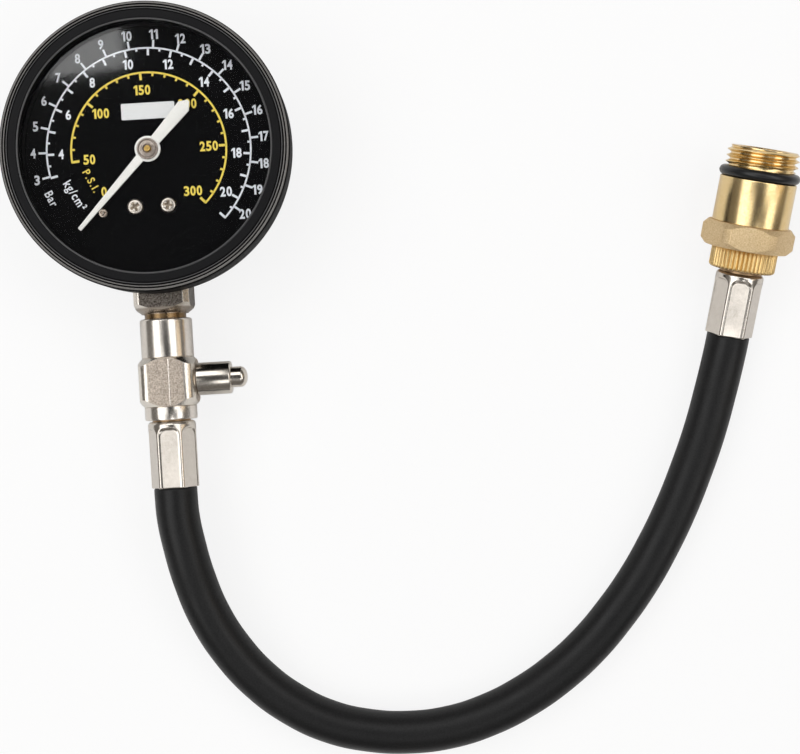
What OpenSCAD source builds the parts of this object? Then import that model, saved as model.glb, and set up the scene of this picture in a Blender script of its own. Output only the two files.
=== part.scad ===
// Compression tester gauge: a round pressure gauge that lies on its back,
// a push-button release valve in its stem, a short rubber hose and a
// screw-in end that replaces a spark plug.
// Origin: centre of the case back. +Z points out of the dial and the stem
// leaves along -Y. All lengths are in millimetres.

/* [Gauge case] */
// Thickness of the pressed sheet
case_wall = 0.9; // [0.7:0.1:1.1]
// Radius of the rounded back edge
case_round = 3; // [2:0.5:4]
// How far the front flange stands out from the drum
flange_w = 2; // [1.8:0.1:2.2]

/* [Bezel and window] */
// Outer diameter of the bezel ring
bezel_d = 70.2; // [69:0.1:72]
// How far the bezel ring stands out from the case
bezel_over = 3.6; // [3.4:0.1:3.8]
// Width of the bezel's front face
bezel_face = 4.6; // [4.2:0.1:5]
// Height of the bezel ring along the dial axis
bezel_h = 10.2; // [9:0.2:11]
// Thickness of the window
window_t = 2.4; // [2:0.1:3]
// Thickness of the gasket under the window
gasket_t = 0.6; // [0.4:0.1:0.8]

/* [Dial and pointer] */
// Thickness of the dial plate
dial_t = 0.8; // [0.5:0.1:1]
// Free height between the dial and the window
dial_room = 3; // [2.8:0.1:3.6]
// Distance from the pointer's tip to the case wall
pointer_gap = 4.8; // [4:0.2:8]
// Pointer length from the arbor to the end of its tail
tail_l = 15.4; // [12:0.2:17]
// Pointer width at the arbor
pointer_w = 2.5; // [2:0.1:3]
// Pointer width at its tip
tip_w = 1.2; // [0.8:0.1:1.4]
// Resting direction of the pointer, in degrees from +X
rest_angle = 226.5; // [225:0.5:230]

/* [Movement] */
// Height of the socket block inside the case
block_h = 13.7; // [13.5:0.1:14.5]
// Thickness of the movement plates
plate_t = 1; // [0.8:0.1:1.2]
// Free height between the movement plates
plate_gap = 4.4; // [4.2:0.1:5]
// Height of the posts that carry the dial
post_h = 1.2; // [1:0.1:1.6]
// Module of the sector and pinion teeth
tooth_module = 0.3; // [0.29:0.005:0.305]
// Distance from the pressure tube's centre line to the outside of the case
tube_inset = 7.5; // [7.2:0.1:7.7]
// Angle that the pressure tube bends through, in degrees
tube_sweep = 305; // [300:1:306]

/* [Stem and release valve] */
// Height of the stem axis above the case back
stem_z = 12.5; // [12:0.1:13]
// Width across the flats of the square shank
shank_w = 13.9; // [13:0.1:14.2]
// Distance from the dial axis to the end of the square shank
shank_end = 39.8; // [38.5:0.2:42]
// Length of the neck between the shank and the valve body
neck_l = 1.2; // [0.8:0.1:2]
// Diameter of the turned ends of the valve body
valve_d = 13.1; // [12.8:0.1:13.6]
// Length of the upper turned end of the valve body
valve_top_l = 9.9; // [9.5:0.1:12]
// Width of the forged block of the valve body
forged_w = 14.2; // [14:0.1:15]
// Height of the forged block of the valve body
forged_h = 12.9; // [12.6:0.1:13.4]
// Length of the forged block of the valve body
forged_l = 12.2; // [11.8:0.1:13]
// Length of the lower turned end of the valve body
valve_low_l = 3.4; // [3:0.1:5]
// Diameter of the side barrel
side_d = 8.2; // [7.8:0.1:8.6]
// How far the side barrel reaches from the stem axis
side_reach = 15.8; // [15.5:0.1:17]
// Diameter of the release button
button_d = 5.2; // [5:0.1:5.4]
// Length of the button's straight part outside the barrel
button_out = 2.3; // [2.2:0.1:3]
// Height of the button's dome
button_dome = 1.7; // [1.2:0.1:2.2]
// Travel of the release button
press_travel = 2; // [1.5:0.1:2]

/* [Hose and ferrules] */
// Outer diameter of the hose
hose_d = 10.8; // [10.6:0.1:11]
// Bore of the hose
hose_bore = 6; // [5.9:0.1:6.2]
// Outer diameter of a ferrule
ferrule_d = 12; // [11.9:0.1:12.4]
// Width across the crimped flats of a ferrule
crimp_w = 10.6; // [10.5:0.1:10.9]
// Length of the near ferrule
near_ferrule_l = 16.8; // [16.6:0.1:17]
// Length of the far ferrule
far_ferrule_l = 16.2; // [16:0.1:16.4]

/* [Screw-in end] */
// Nominal diameter of the spark plug thread
plug_thread_d = 18; // [18:0.1:18.4]
// Length of the plug thread
plug_thread_l = 5.1; // [5:0.1:9]
// Diameter of the smooth body of the adapter
adapter_d = 19.1; // [19:0.1:20]
// Length of the smooth body of the adapter
adapter_l = 11.3; // [10:0.1:14]
// Width across the flats of the hexagon
hex_w = 21; // [20:0.5:22]
// Length of the hexagon
hex_l = 6.2; // [5.5:0.1:8]
// Section diameter of the O-ring
oring_t = 2.6; // [2.4:0.1:2.7]
// Outer diameter of the O-ring
oring_d = 20.2; // [20:0.1:20.6]
// Diameter of the knurled collar
knurl_d = 16.6; // [16:0.1:17.5]
// Length of the knurled collar
knurl_l = 5.5; // [5:0.1:7]
// Number of flutes in the knurl
knurl_count = 44; // [36:2:48]

/* [Hidden] */
$fn = 64;

// Overrun of every cut, running clearance of a shaft and clearance of fixed pieces
cut = 0.5;
run_gap = 0.05;
fit_gap = 0.1;
loose_gap = 0.2;

// Heights above the case back, from the block to the bezel front
block_top = case_wall + block_h;
front_plate_z = block_top + plate_t + plate_gap;
post_z = front_plate_z + plate_t;
dial_z = post_z + post_h;
dial_top = dial_z + dial_t;
window_z = dial_top + dial_room;
window_top = window_z + window_t;
rim_z = window_z - gasket_t;

// Case and bezel
bezel_r = bezel_d / 2;
case_r = bezel_r - bezel_over;
opening_r = bezel_r - bezel_face;
flange_r = case_r + flange_w - loose_gap;
bezel_lip_h = 2.6;
bezel_front = window_top + bezel_lip_h;
bezel_back = bezel_front - bezel_h;
bezel_bore_r = flange_r + loose_gap;
clinch_gap = 0.4;
rim_round = 1.3;
groove_depth = 0.8;
groove_in = 1.15;
groove_out = 1.85;
band_drop = 0.7;
lip_round = 0.45;
window_r = bezel_bore_r - loose_gap;
gasket_w = 1.4;

// Back screws and the dimples that they sit in
block_inset = 5.1;
block_l = 11.2;
block_far = case_r - block_inset;
block_near = block_far - block_l;
case_screw_x = 5.8;
case_screw_inset = 3;
case_screw_y = block_near + case_screw_inset;
case_screw_r = 2;
case_screw_l = 8;
screw_head_r = 3.6;
screw_head_h = 2;
dimple_r = 4.4;
dimple_depth = 2.3;

// Socket block, shank and spigot
block_w = 18;
shank_corner_r = 1.8;
shank_turn_r = 8.9;
shank_end_r = 5.9;
shank_end_cone = 2.2;
neck_r = 5.2;
spigot_r = 4.85;
spigot_l = 8.6;
channel_r = 1.5;
block_port_r = 1.1;
channel_inset = 6.3;
channel_start = block_near + channel_inset;

// Pressure tube, a flattened tube that stands on its narrow side
tube_bend_r = case_r - tube_inset;
tube_w = 2.8;
tube_h = 6.4;
tube_wall = 0.35;
tube_z = 10.8;
tube_tip_angle = -45;
tip_block_angle = 9;
tip_block_wall = 0.5;
seat_play = 0.5;
seat_angle = 26;

// Movement plates, pillars, screws and dial posts
plate_w = 25;
plate_top = 6.5;
plate_low = 16;
plate_corner_r = 3;
foot_w = 17.6;
pillar_x = 9.2;
pillar_top_y = 3.6;
pillar_low_y = 13;
pillar_r = 1.6;
movement_screw_x = 6.6;
movement_screw_inset = 4.8;
movement_screw_y = block_near + movement_screw_inset;
movement_screw_r = 1.1;
movement_screw_l = 4;
movement_head_r = 1.8;
movement_head_h = 1;
foot_edge = 0.7;
foot_low = movement_screw_y + movement_head_r + foot_edge;
dial_screw_x = 4.05;
dial_screw_y = 13.8;
dial_screw_r = 0.95;
dial_head_r = 1.9;
dial_head_h = 1.1;
cross_w = 0.5;
cross_l = 2.2;
cross_depth = 0.6;
slot_w = 0.6;
head_dome_share = 0.6;
post_r = 2.2;
post_spigot_r = 1.45;

// Arbor, pinion and sector
arbor_r = 0.8;
pinion_teeth = 10;
sector_teeth = 80;
pinion_r = tooth_module * pinion_teeth / 2;
sector_r = tooth_module * sector_teeth / 2;
sector_ratio = pinion_teeth / sector_teeth;
gear_distance = pinion_r + sector_r;
sector_side = -88;
sector_x = gear_distance * cos(sector_side);
sector_y = gear_distance * sin(sector_side);
sector_t = 1;
sector_low_share = 0.8;
sector_z = block_top + plate_t + sector_low_share * sector_t;
pointer_sweep = 270;
sector_sweep = pointer_sweep * sector_ratio;
tooth_step = 360 / sector_teeth;
sector_shaft_r = 0.5;
sector_hub_r = 1.9;
sector_rim_w = 1.9;
spoke_w = 1.8;
tooth_top_share = 0.35;
tooth_root_share = 0.62;
addendum_share = 0.55;
dedendum_share = 1.2;
addendum = addendum_share * tooth_module;
dedendum = dedendum_share * tooth_module;
pinion_l = 2;
arbor_top_gap = 0.24;
arbor_top = window_z - arbor_top_gap;

// Tail of the sector and the link that pulls it
lever_l = 5.5;
lever_rest = -90 - sector_sweep / 2;
lever_x = sector_x + lever_l * cos(lever_rest);
lever_y = sector_y + lever_l * sin(lever_rest);
lever_travel = 2 * lever_l * sin(sector_sweep / 2);
lever_dip = lever_l * (1 - cos(sector_sweep / 2));
link_l = sqrt(tube_bend_r * tube_bend_r - lever_y * lever_y) - lever_x;
link_t = 0.8;
link_w = 1.6;
link_eye_r = 1.2;
link_pin_r = 0.45;
link_z = sector_z + sector_t + loose_gap;
link_pin_x = lever_x + link_l;
lug_l = 6.4;
lug_w = 2.9;
lug_slot_depth = 1.8;

// Hairspring
hair_turns = 4;
hair_steps = 16;
hair_r = 1.5;
hair_pitch = 0.9;
hair_t = 0.16;
hair_h = 0.6;
hair_z = link_z + link_t;
collet_r = 1.1;
stud_r = 0.6;

// Pointer, hub and stop
pointer_t = 0.5;
pointer_l = case_r - case_wall - pointer_gap;
pointer_lift = 1.48;
pointer_z = dial_top + pointer_lift;
tail_w = 3.4;
boss_r = 3.15;
bush_r = 2.6;
bush_t = 0.35;
sleeve_r = 1.3;
stop_inset = 6.7;
stop_r = pointer_l - stop_inset;
stop_pin_r = 0.62;
stop_base_r = 1.1;
stop_base_h = 0.6;
stop_side = pointer_w / 2 - (pointer_w - tip_w) / 2 * stop_r / pointer_l + stop_pin_r + fit_gap;

// Valve body, measured along the stem from the dial axis
valve_y = shank_end + neck_l;
forged_y = valve_y + valve_top_l;
collar_y = forged_y + forged_l;
valve_end = collar_y + valve_low_l;
valve_r = valve_d / 2;
forged_corner_r = 2.9;
forged_cone = 2.4;
forged_end_r = 6.2;
valve_edge = 0.8;
seam_x = 0.9;
seam_w = 0.26;
seam_h = 0.12;
nipple_thread_r = 4.2;
nipple_thread_l = 6;

// Side valve, measured from the stem axis towards +X
side_place_share = 0.71;
side_y = valve_y + side_place_share * (valve_top_l + forged_l);
side_thread_r = 3;
side_thread_in = 4.6;
side_chamber_in = 0.6;
side_wall_in = 8;
side_wall_out = 9.4;
side_face = forged_w / 2;
side_edge = 0.4;
stem_r = 0.7;
stem_in = 2.9;
stem_rivet_r = 1.1;
stem_rivet_h = 0.5;
button_r = button_d / 2;
release_seal_r = 1.7;
release_seal_t = 1;
release_turns = 3;
release_wire = 0.4;
release_coil_r = 1.75;
button_back = side_wall_out + press_travel + (release_turns + 1) * release_wire;

// Nipple, ferrules and hose ends
nipple_neck_r = 4.8;
nipple_neck_l = 1.5;
nipple_tail_r = 2.7;
barb_h = 0.13;
barb_step = 3;
ferrule_gap = 0.3;
ferrule_bore_r = 4.4;
ferrule_mouth = 2.8;
ferrule_round = 1;
ferrule_wall = 0.4;
mouth_bore_r = crimp_w / 2 - ferrule_wall;
panel_w = 4.8;
panel_round = 1.1;
panel_end = 2;
near_ferrule_turn = 32;
far_ferrule_turn = -2;
near_ferrule_y = valve_end + ferrule_gap;
near_hose_y = valve_end + nipple_neck_l + fit_gap;
squeezed_r = 4.2;
hose_swell = 1.5;
hose_sides = 12;

// Screw-in end, measured along its own axis from the ferrule mouth
hex_turn = 8;
far_p = [142.77, -53.28, 6.6];
far_dir = 78;
far_rise = 12;
far_way = [cos(far_dir) * cos(far_rise), sin(far_dir) * cos(far_rise), sin(far_rise)];
far_neck_r = 5.3;
far_neck_l = 0.7;
knurl_z = far_ferrule_l + far_neck_l;
hex_z = knurl_z + knurl_l;
body_z = hex_z + hex_l;
groove_z = body_z + adapter_l;
thread_z = groove_z + oring_t;
end_z = thread_z + plug_thread_l;
far_hose_z = far_ferrule_l - nipple_neck_l + ferrule_gap;
far_spigot_r = 6;
far_spigot_l = 9.5;
far_bore_r = 1.6;
knurl_depth = 0.35;
hex_chamfer_r = 1.7;
body_step = 0.9;
body_step_l = 1.4;
thread_chamfer = 0.8;
recess_r = 6.2;
recess_depth = 2;
core_r = 2.6;
core_start = hex_z + far_spigot_l + 2.8;
core_end = end_z - 0.2 * recess_depth;
core_wall = 1.5;
core_hole_r = 0.7;
core_cavity_r = 1.9;
core_pin_r = 0.55;
core_pin_out = 0.5;
core_travel = 1;
core_collar_r = 1.5;
core_collar_t = 0.7;
core_collar_z = core_end - core_wall - core_collar_t - core_travel;
core_seal_r = 2.2;
core_seal_t = 1.2;
core_wire = 0.35;
core_coil_r = 1.3;
core_turns = 5;

// Route of the hose between the ferrules, as points on its centre line
hose_route = [[0.2, -91, 12.4], [1.2, -98, 12], [3.2, -107.4, 10.9], [6.5, -117.2, 9.6],
    [11.4, -126.3, 8.1], [17.8, -134.5, 6.8], [25.7, -141.3, 5.9], [34.8, -146.4, 5.5],
    [44.8, -149.3, 5.5], [55.2, -150.4, 5.5], [65.7, -149.7, 5.5], [75.8, -147.1, 5.5],
    [85.4, -142.9, 5.5], [94.3, -137.4, 5.5], [102.4, -130.8, 5.5], [109.6, -123.2, 5.5],
    [116.1, -115, 5.5], [121.8, -106.2, 5.5], [126.9, -97, 5.5], [131.3, -87.6, 5.5],
    [135.3, -77.9, 5.5], [138.7, -67.9, 5.5], [141.67, -58, 5.78]];

// Puts a piece on the stem axis, its own +Z pointing away from the dial
module on_stem(y) {
    translate([0, -y, stem_z]) rotate([90, 0, 0]) children();
}

// Puts a piece on the side valve axis, its own +Z pointing out of the barrel
module on_side(x) {
    translate([x, -side_y, stem_z]) rotate([0, 90, 0]) children();
}

// Puts a piece on the rising axis of the screw-in end, its own +Z pointing to the thread
module on_far(z) {
    translate(far_p) rotate([0, 0, far_dir]) rotate([0, 90 - far_rise, 0]) translate([0, 0, z]) children();
}

// Mirrors a piece to both sides of the YZ plane
module both_sides() {
    children();
    mirror([1, 0, 0]) children();
}

module ring(r_out, r_in, h) {
    difference() {
        cylinder(r = r_out, h = h);
        translate([0, 0, -cut]) cylinder(r = r_in, h = h + 2 * cut);
    }
}

// Cylinder with a turned chamfer at both ends
module turned(r, h, low, high) {
    rotate_extrude() polygon([[0, 0], [r - low, 0], [r, low], [r, h - high], [r - high, h], [0, h]]);
}

module rounded_square(w, l, r) {
    square([w - 2 * r, l], center = true);
    square([w, l - 2 * r], center = true);
    for (x = [-1, 1], y = [-1, 1]) translate([x * (w / 2 - r), y * (l / 2 - r)]) circle(r);
}

// Points on an arc of a profile
function arc(x, y, r, from, to, steps) =
    [for (i = [0 : steps]) let (a = from + (to - from) * i / steps) [x + r * cos(a), y + r * sin(a)]];

module pan_head(r, h) {
    dome = head_dome_share * h;
    rotate_extrude() polygon(concat([[0, 0], [r, 0], [r, h - dome]], arc(r - dome, h - dome, dome, 0, 90, 4), [[0, h]]));
}

module cross_recess(h) {
    for (a = [0, 90]) rotate([0, 0, a]) translate([-cross_l / 2, -cross_w / 2, h - cross_depth])
        cube([cross_l, cross_w, cross_depth + cut]);
}

module gauge_case() color([0.06, 0.06, 0.065]) {
    difference() {
        union() {
            rotate_extrude() polygon(concat([[0, 0]],
                arc(case_r - case_round, case_round, case_round, -90, 0, 6),
                [[case_r, rim_z - case_wall], [flange_r, rim_z - case_wall], [flange_r, rim_z],
                    [case_r - case_wall, rim_z]],
                arc(case_r - case_round, case_round, case_round - case_wall, 0, -90, 6),
                [[0, case_wall]]));
            both_sides() translate([case_screw_x, -case_screw_y, 0])
                cylinder(r = dimple_r + case_wall, h = dimple_depth + case_wall);
        }
        both_sides() translate([case_screw_x, -case_screw_y, 0]) {
            translate([0, 0, -cut]) cylinder(r = dimple_r, h = dimple_depth + cut);
            cylinder(r = case_screw_r + fit_gap, h = dimple_depth + case_wall + cut);
        }
        translate([-shank_w / 2 - fit_gap, -case_r - cut, stem_z - shank_w / 2 - fit_gap])
            cube([shank_w + 2 * fit_gap, case_r - block_far + cut, shank_w + 2 * fit_gap]);
    }
}

// Rolled ring with a raised rim, a groove, a broad band and a thin inner lip
module bezel_ring() color([0.05, 0.05, 0.055]) {
    seat_r = case_r + clinch_gap;
    flange_low = rim_z - case_wall - fit_gap;
    rotate_extrude() polygon(concat(
        [[seat_r, bezel_back], [bezel_r - rim_round / 2, bezel_back], [bezel_r, bezel_back + rim_round / 2]],
        arc(bezel_r - rim_round, bezel_front - rim_round, rim_round, 0, 70, 6),
        [[bezel_r - groove_in, bezel_front - groove_depth], [bezel_r - groove_out, bezel_front - groove_depth],
            [bezel_r - groove_out, bezel_front - lip_round], [bezel_r - groove_out - lip_round, bezel_front]],
        [[opening_r + 2 * lip_round, bezel_front - band_drop]],
        arc(opening_r + lip_round, bezel_front - band_drop, lip_round, 60, 180, 6),
        [[opening_r, window_top], [bezel_bore_r, window_top], [bezel_bore_r, flange_low], [seat_r, flange_low]]));
}

module window() color([0.8, 0.85, 0.88, 0.25])
    translate([0, 0, window_z]) turned(window_r, window_t, lip_round, lip_round);

module window_gasket() color([0.04, 0.04, 0.04])
    translate([0, 0, rim_z]) ring(window_r, window_r - gasket_w, gasket_t);

module dial_plate() color([0.03, 0.03, 0.03]) translate([0, 0, dial_z]) difference() {
    cylinder(r = case_r - case_wall - loose_gap, h = dial_t);
    translate([0, 0, -cut]) {
        cylinder(r = 2 * arbor_r, h = dial_t + 2 * cut);
        both_sides() translate([dial_screw_x, -dial_screw_y, 0])
            cylinder(r = dial_screw_r + fit_gap, h = dial_t + 2 * cut);
        at_stop() cylinder(r = stop_pin_r + run_gap, h = dial_t + 2 * cut);
    }
}

module dial_screws() color([0.62, 0.62, 0.6]) both_sides()
    translate([dial_screw_x, -dial_screw_y, dial_top]) {
        difference() {
            pan_head(dial_head_r, dial_head_h);
            cross_recess(dial_head_h);
        }
        translate([0, 0, -dial_t - post_h]) cylinder(r = dial_screw_r, h = dial_t + post_h);
    }

module dial_posts() color([0.8, 0.62, 0.3]) both_sides()
    translate([dial_screw_x, -dial_screw_y, front_plate_z]) difference() {
        union() {
            cylinder(r = post_spigot_r, h = plate_t);
            translate([0, 0, plate_t]) cylinder(r = post_r, h = post_h);
        }
        translate([0, 0, -cut]) cylinder(r = dial_screw_r + run_gap, h = plate_t + post_h + 2 * cut);
    }

// Turns a point to the stop, just beside the resting pointer
module at_stop() {
    rotate([0, 0, rest_angle]) translate([stop_r, stop_side, 0]) children();
}

module stop_pin() color([0.8, 0.65, 0.4]) at_stop() difference() {
    translate([0, 0, dial_z]) union() {
        cylinder(r = stop_pin_r, h = pointer_z - dial_z + pointer_t + loose_gap);
        translate([0, 0, dial_t]) cylinder(r = stop_base_r, h = stop_base_h);
    }
    translate([0, 0, pointer_z]) cylinder(r = stop_pin_r / 2, h = pointer_t + loose_gap + cut);
}

// Flat blade with a tapering tip, a wider tail with a point and a round boss
module pointer() color([0.93, 0.92, 0.9]) translate([0, 0, pointer_z]) rotate([0, 0, rest_angle]) {
    difference() {
        union() {
            linear_extrude(pointer_t) polygon([[0, -pointer_w / 2], [pointer_l - tip_w / 2, -tip_w / 2],
                [pointer_l, 0], [pointer_l - tip_w / 2, tip_w / 2], [0, pointer_w / 2]]);
            linear_extrude(pointer_t) polygon([[0, pointer_w / 2], [tail_w / 2 - tail_l, tail_w / 2],
                [-tail_l, 0], [tail_w / 2 - tail_l, -tail_w / 2], [0, -pointer_w / 2]]);
            cylinder(r = boss_r, h = pointer_t);
        }
        translate([0, 0, -cut]) cylinder(r = sleeve_r + run_gap, h = pointer_t + 2 * cut);
    }
}

module pointer_hub() color([0.75, 0.73, 0.68]) difference() {
    union() {
        translate([0, 0, pointer_z + pointer_t]) turned(bush_r, bush_t, 0, bush_t / 2);
        translate([0, 0, pointer_z - bush_t]) cylinder(r = sleeve_r, h = pointer_t + 1.5 * bush_t);
    }
    translate([0, 0, pointer_z - bush_t - cut])
        cylinder(r = arbor_r + run_gap / 2, h = pointer_t + 2 * bush_t + 2 * cut);
}

// A tooth centred on +X, from its root radius to its top radius
module tooth(r, step) {
    half = r * sin(step / 2);
    root = r - dedendum - fit_gap;
    polygon([[root, -half * tooth_root_share], [r + addendum, -half * tooth_top_share],
        [r + addendum, half * tooth_top_share], [root, half * tooth_root_share]]);
}

module pinion_arbor() color([0.8, 0.62, 0.3]) {
    translate([0, 0, block_top + run_gap])
        turned(arbor_r, arbor_top - block_top - run_gap, run_gap, 2 * run_gap);
    translate([0, 0, sector_z - pinion_l / 4]) linear_extrude(pinion_l) {
        circle(pinion_r - dedendum);
        for (i = [0 : pinion_teeth - 1]) rotate([0, 0, sector_side + i * 360 / pinion_teeth])
            tooth(pinion_r, 360 / pinion_teeth);
    }
    translate([0, 0, hair_z]) cylinder(r = collet_r, h = hair_h);
}

// Toothed segment with two spokes and the short tail that the link pulls
module sector_gear() color([0.82, 0.66, 0.34]) translate([sector_x, sector_y, sector_z]) {
    mesh = sector_side + 180;
    first = -2;
    last = ceil(sector_sweep / tooth_step) + 1;
    rim_out = sector_r - dedendum;
    rim_in = rim_out - sector_rim_w;
    difference() {
        union() {
            linear_extrude(sector_t) {
                for (i = [first : last]) rotate([0, 0, mesh - (i + 0.5) * tooth_step])
                    tooth(sector_r, tooth_step);
                for (a = [mesh - first * tooth_step - tooth_step, mesh - last * tooth_step])
                    rotate([0, 0, a]) translate([0, -spoke_w / 2]) square([rim_out - fit_gap, spoke_w]);
                rotate([0, 0, lever_rest]) translate([0, -link_w / 2]) square([lever_l, link_w]);
                rotate([0, 0, lever_rest]) translate([lever_l, 0]) circle(link_eye_r);
                circle(sector_hub_r);
            }
            rotate([0, 0, mesh - (last + 1) * tooth_step])
                rotate_extrude(angle = (last - first + 1) * tooth_step)
                translate([rim_in, 0]) square([sector_rim_w, sector_t]);
        }
        translate([0, 0, -cut]) {
            cylinder(r = sector_shaft_r + run_gap / 2, h = sector_t + 2 * cut);
            rotate([0, 0, lever_rest]) translate([lever_l, 0])
                cylinder(r = link_pin_r + run_gap, h = sector_t + 2 * cut);
        }
    }
}

module sector_shaft() color([0.7, 0.7, 0.7]) translate([sector_x, sector_y, block_top + run_gap])
    cylinder(r = sector_shaft_r, h = 2 * plate_t + plate_gap - 2 * run_gap);

// Bar with an eye at each end, over the tail and over the tip block
module link() color([0.75, 0.75, 0.72]) translate([lever_x, lever_y, link_z]) difference() {
    linear_extrude(link_t) {
        translate([0, -link_w / 2]) square([link_l, link_w]);
        circle(link_eye_r);
        translate([link_l, 0]) circle(link_eye_r);
    }
    for (x = [0, link_l]) translate([x, 0, -cut]) cylinder(r = link_pin_r + run_gap / 2, h = link_t + 2 * cut);
}

module link_pins() color([0.8, 0.65, 0.35]) for (x = [0, link_l])
    translate([lever_x + x, lever_y, 0]) {
        pin_low = sector_z - loose_gap;
        translate([0, 0, pin_low]) cylinder(r = link_pin_r, h = link_z + link_t - pin_low);
        translate([0, 0, link_z + link_t]) cylinder(r = 2 * link_pin_r, h = link_pin_r);
    }

// A point on the outer or inner side of the hairspring
function spiral(i, side) =
    let (a = i * 360 / hair_steps, r = hair_r + hair_pitch * a / 360 + side * hair_t / 2) [r * cos(a), r * sin(a)];

// Flat spiral strip between the collet and its stud
module hairspring() color([0.75, 0.6, 0.3]) {
    steps = hair_turns * hair_steps;
    translate([0, 0, hair_z]) linear_extrude(hair_h) polygon(concat(
        [for (i = [0 : steps]) spiral(i, 1)], [for (i = [steps : -1 : 0]) spiral(i, -1)]));
}

module hairspring_stud() color([0.8, 0.62, 0.3])
    translate([hair_r + hair_turns * hair_pitch + stud_r + hair_t / 2 + run_gap, 0, hair_z])
        cylinder(r = stud_r, h = front_plate_z - hair_z);

module plate_outline(low) {
    translate([0, (plate_top - low) / 2]) rounded_square(plate_w, plate_top + low, plate_corner_r);
}

module pillar_places() {
    both_sides() for (y = [pillar_top_y, -pillar_low_y]) translate([pillar_x, y, 0]) children();
}

module back_plate() color([0.84, 0.7, 0.4]) translate([0, 0, block_top]) difference() {
    linear_extrude(plate_t) {
        plate_outline(plate_low);
        translate([0, (plate_corner_r - plate_low - foot_low + plate_corner_r) / 2])
            rounded_square(foot_w, foot_low - plate_low + 2 * plate_corner_r, plate_corner_r);
    }
    translate([0, 0, -cut]) {
        cylinder(r = arbor_r + run_gap, h = plate_t + 2 * cut);
        translate([sector_x, sector_y, 0]) cylinder(r = sector_shaft_r + run_gap, h = plate_t + 2 * cut);
        both_sides() translate([movement_screw_x, -movement_screw_y, 0])
            cylinder(r = movement_screw_r + fit_gap, h = plate_t + 2 * cut);
    }
}

module front_plate() color([0.84, 0.7, 0.4]) translate([0, 0, front_plate_z]) difference() {
    linear_extrude(plate_t) plate_outline(plate_low);
    translate([0, 0, -cut]) {
        cylinder(r = arbor_r + run_gap, h = plate_t + 2 * cut);
        translate([sector_x, sector_y, 0]) cylinder(r = sector_shaft_r + run_gap, h = plate_t + 2 * cut);
        both_sides() translate([dial_screw_x, -dial_screw_y, 0])
            cylinder(r = post_spigot_r + run_gap / 2, h = plate_t + 2 * cut);
    }
}

module plate_pillars() color([0.8, 0.62, 0.3]) translate([0, 0, block_top + plate_t])
    pillar_places() cylinder(r = pillar_r, h = plate_gap);

module movement_screws() color([0.7, 0.7, 0.68]) both_sides()
    translate([movement_screw_x, -movement_screw_y, block_top + plate_t]) {
        difference() {
            cylinder(r = movement_head_r, h = movement_head_h);
            translate([-movement_head_r - cut, -slot_w / 2, movement_head_h / 2])
                cube([2 * movement_head_r + 2 * cut, slot_w, movement_head_h]);
        }
        translate([0, 0, -movement_screw_l]) cylinder(r = movement_screw_r, h = movement_screw_l);
    }

// Section of the flattened tube, drawn across its centre line
module tube_section(w, h) {
    square([w, h - w], center = true);
    for (s = [-1, 1]) translate([0, s * (h - w) / 2]) circle(w / 2, $fn = 32);
}

module pressure_tube() color([0.85, 0.68, 0.35])
    translate([0, 0, tube_z]) rotate([0, 0, tube_tip_angle]) rotate_extrude(angle = tube_sweep)
        translate([tube_bend_r, 0]) difference() {
            tube_section(tube_w, tube_h);
            tube_section(tube_w - 2 * tube_wall, tube_h - 2 * tube_wall);
        }

// Closes the end of the tube and carries the slot that the link pin runs in
module tube_tip_block() color([0.8, 0.62, 0.3]) {
    top = sector_z + sector_t;
    cap_top = tube_z + tube_h / 2 + tip_block_wall;
    difference() {
        union() {
            rotate([0, 0, tube_tip_angle - tip_block_angle]) rotate_extrude(angle = tip_block_angle)
                translate([tube_bend_r - tube_w / 2 - tip_block_wall, tube_z - tube_h / 2 - tip_block_wall])
                square([tube_w + 2 * tip_block_wall, tube_h + 2 * tip_block_wall]);
            translate([link_pin_x - lug_w / 2, lever_y - lug_w / 2, cap_top - loose_gap])
                cube([lug_l, lug_w, top - cap_top + loose_gap]);
        }
        translate([link_pin_x, lever_y, top - lug_slot_depth]) {
            for (x = [0, lever_travel], y = [0, -lever_dip]) translate([x, y, 0])
                cylinder(r = link_pin_r + loose_gap, h = lug_slot_depth + cut);
            translate([0, -link_pin_r - loose_gap - lever_dip, 0])
                cube([lever_travel, 2 * link_pin_r + 2 * loose_gap + lever_dip, lug_slot_depth + cut]);
        }
    }
}

// Brass socket: block inside the case, square shank through its wall, neck and spigot
module pressure_socket() color([0.72, 0.68, 0.62]) difference() {
    union() {
        translate([-block_w / 2, -block_far, case_wall]) cube([block_w, block_far - block_near, block_h]);
        intersection() {
            on_stem(block_far - fit_gap) linear_extrude(shank_end - block_far + fit_gap)
                rounded_square(shank_w, shank_w, shank_corner_r);
            on_stem(block_far - 2 * fit_gap) rotate_extrude() polygon([[0, 0], [shank_turn_r, 0],
                [shank_turn_r, shank_end - block_far - shank_end_cone], [shank_end_r, shank_end - block_far + fit_gap],
                [shank_end_r, shank_end - block_far + cut], [0, shank_end - block_far + cut]]);
        }
        on_stem(shank_end - fit_gap) cylinder(r = neck_r, h = neck_l + fit_gap);
        on_stem(valve_y - fit_gap) turned(spigot_r, spigot_l + fit_gap, 0, 2 * fit_gap);
    }
    on_stem(channel_start) cylinder(r = channel_r, h = valve_y + spigot_l - channel_start + cut);
    translate([-2 * channel_r - block_port_r, -tube_bend_r, tube_z + block_port_r])
        rotate([0, 90, 0]) cylinder(r = block_port_r, h = 2 * channel_r + block_port_r);
    tube_seat();
    both_sides() translate([case_screw_x, -case_screw_y, 0]) {
        cylinder(r = dimple_r + case_wall + loose_gap, h = dimple_depth + case_wall + fit_gap);
        cylinder(r = case_screw_r + run_gap, h = case_wall + case_screw_l + fit_gap);
    }
    both_sides() translate([movement_screw_x, -movement_screw_y, block_top - movement_screw_l - fit_gap])
        cylinder(r = movement_screw_r + run_gap, h = movement_screw_l + fit_gap + cut);
}

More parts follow.
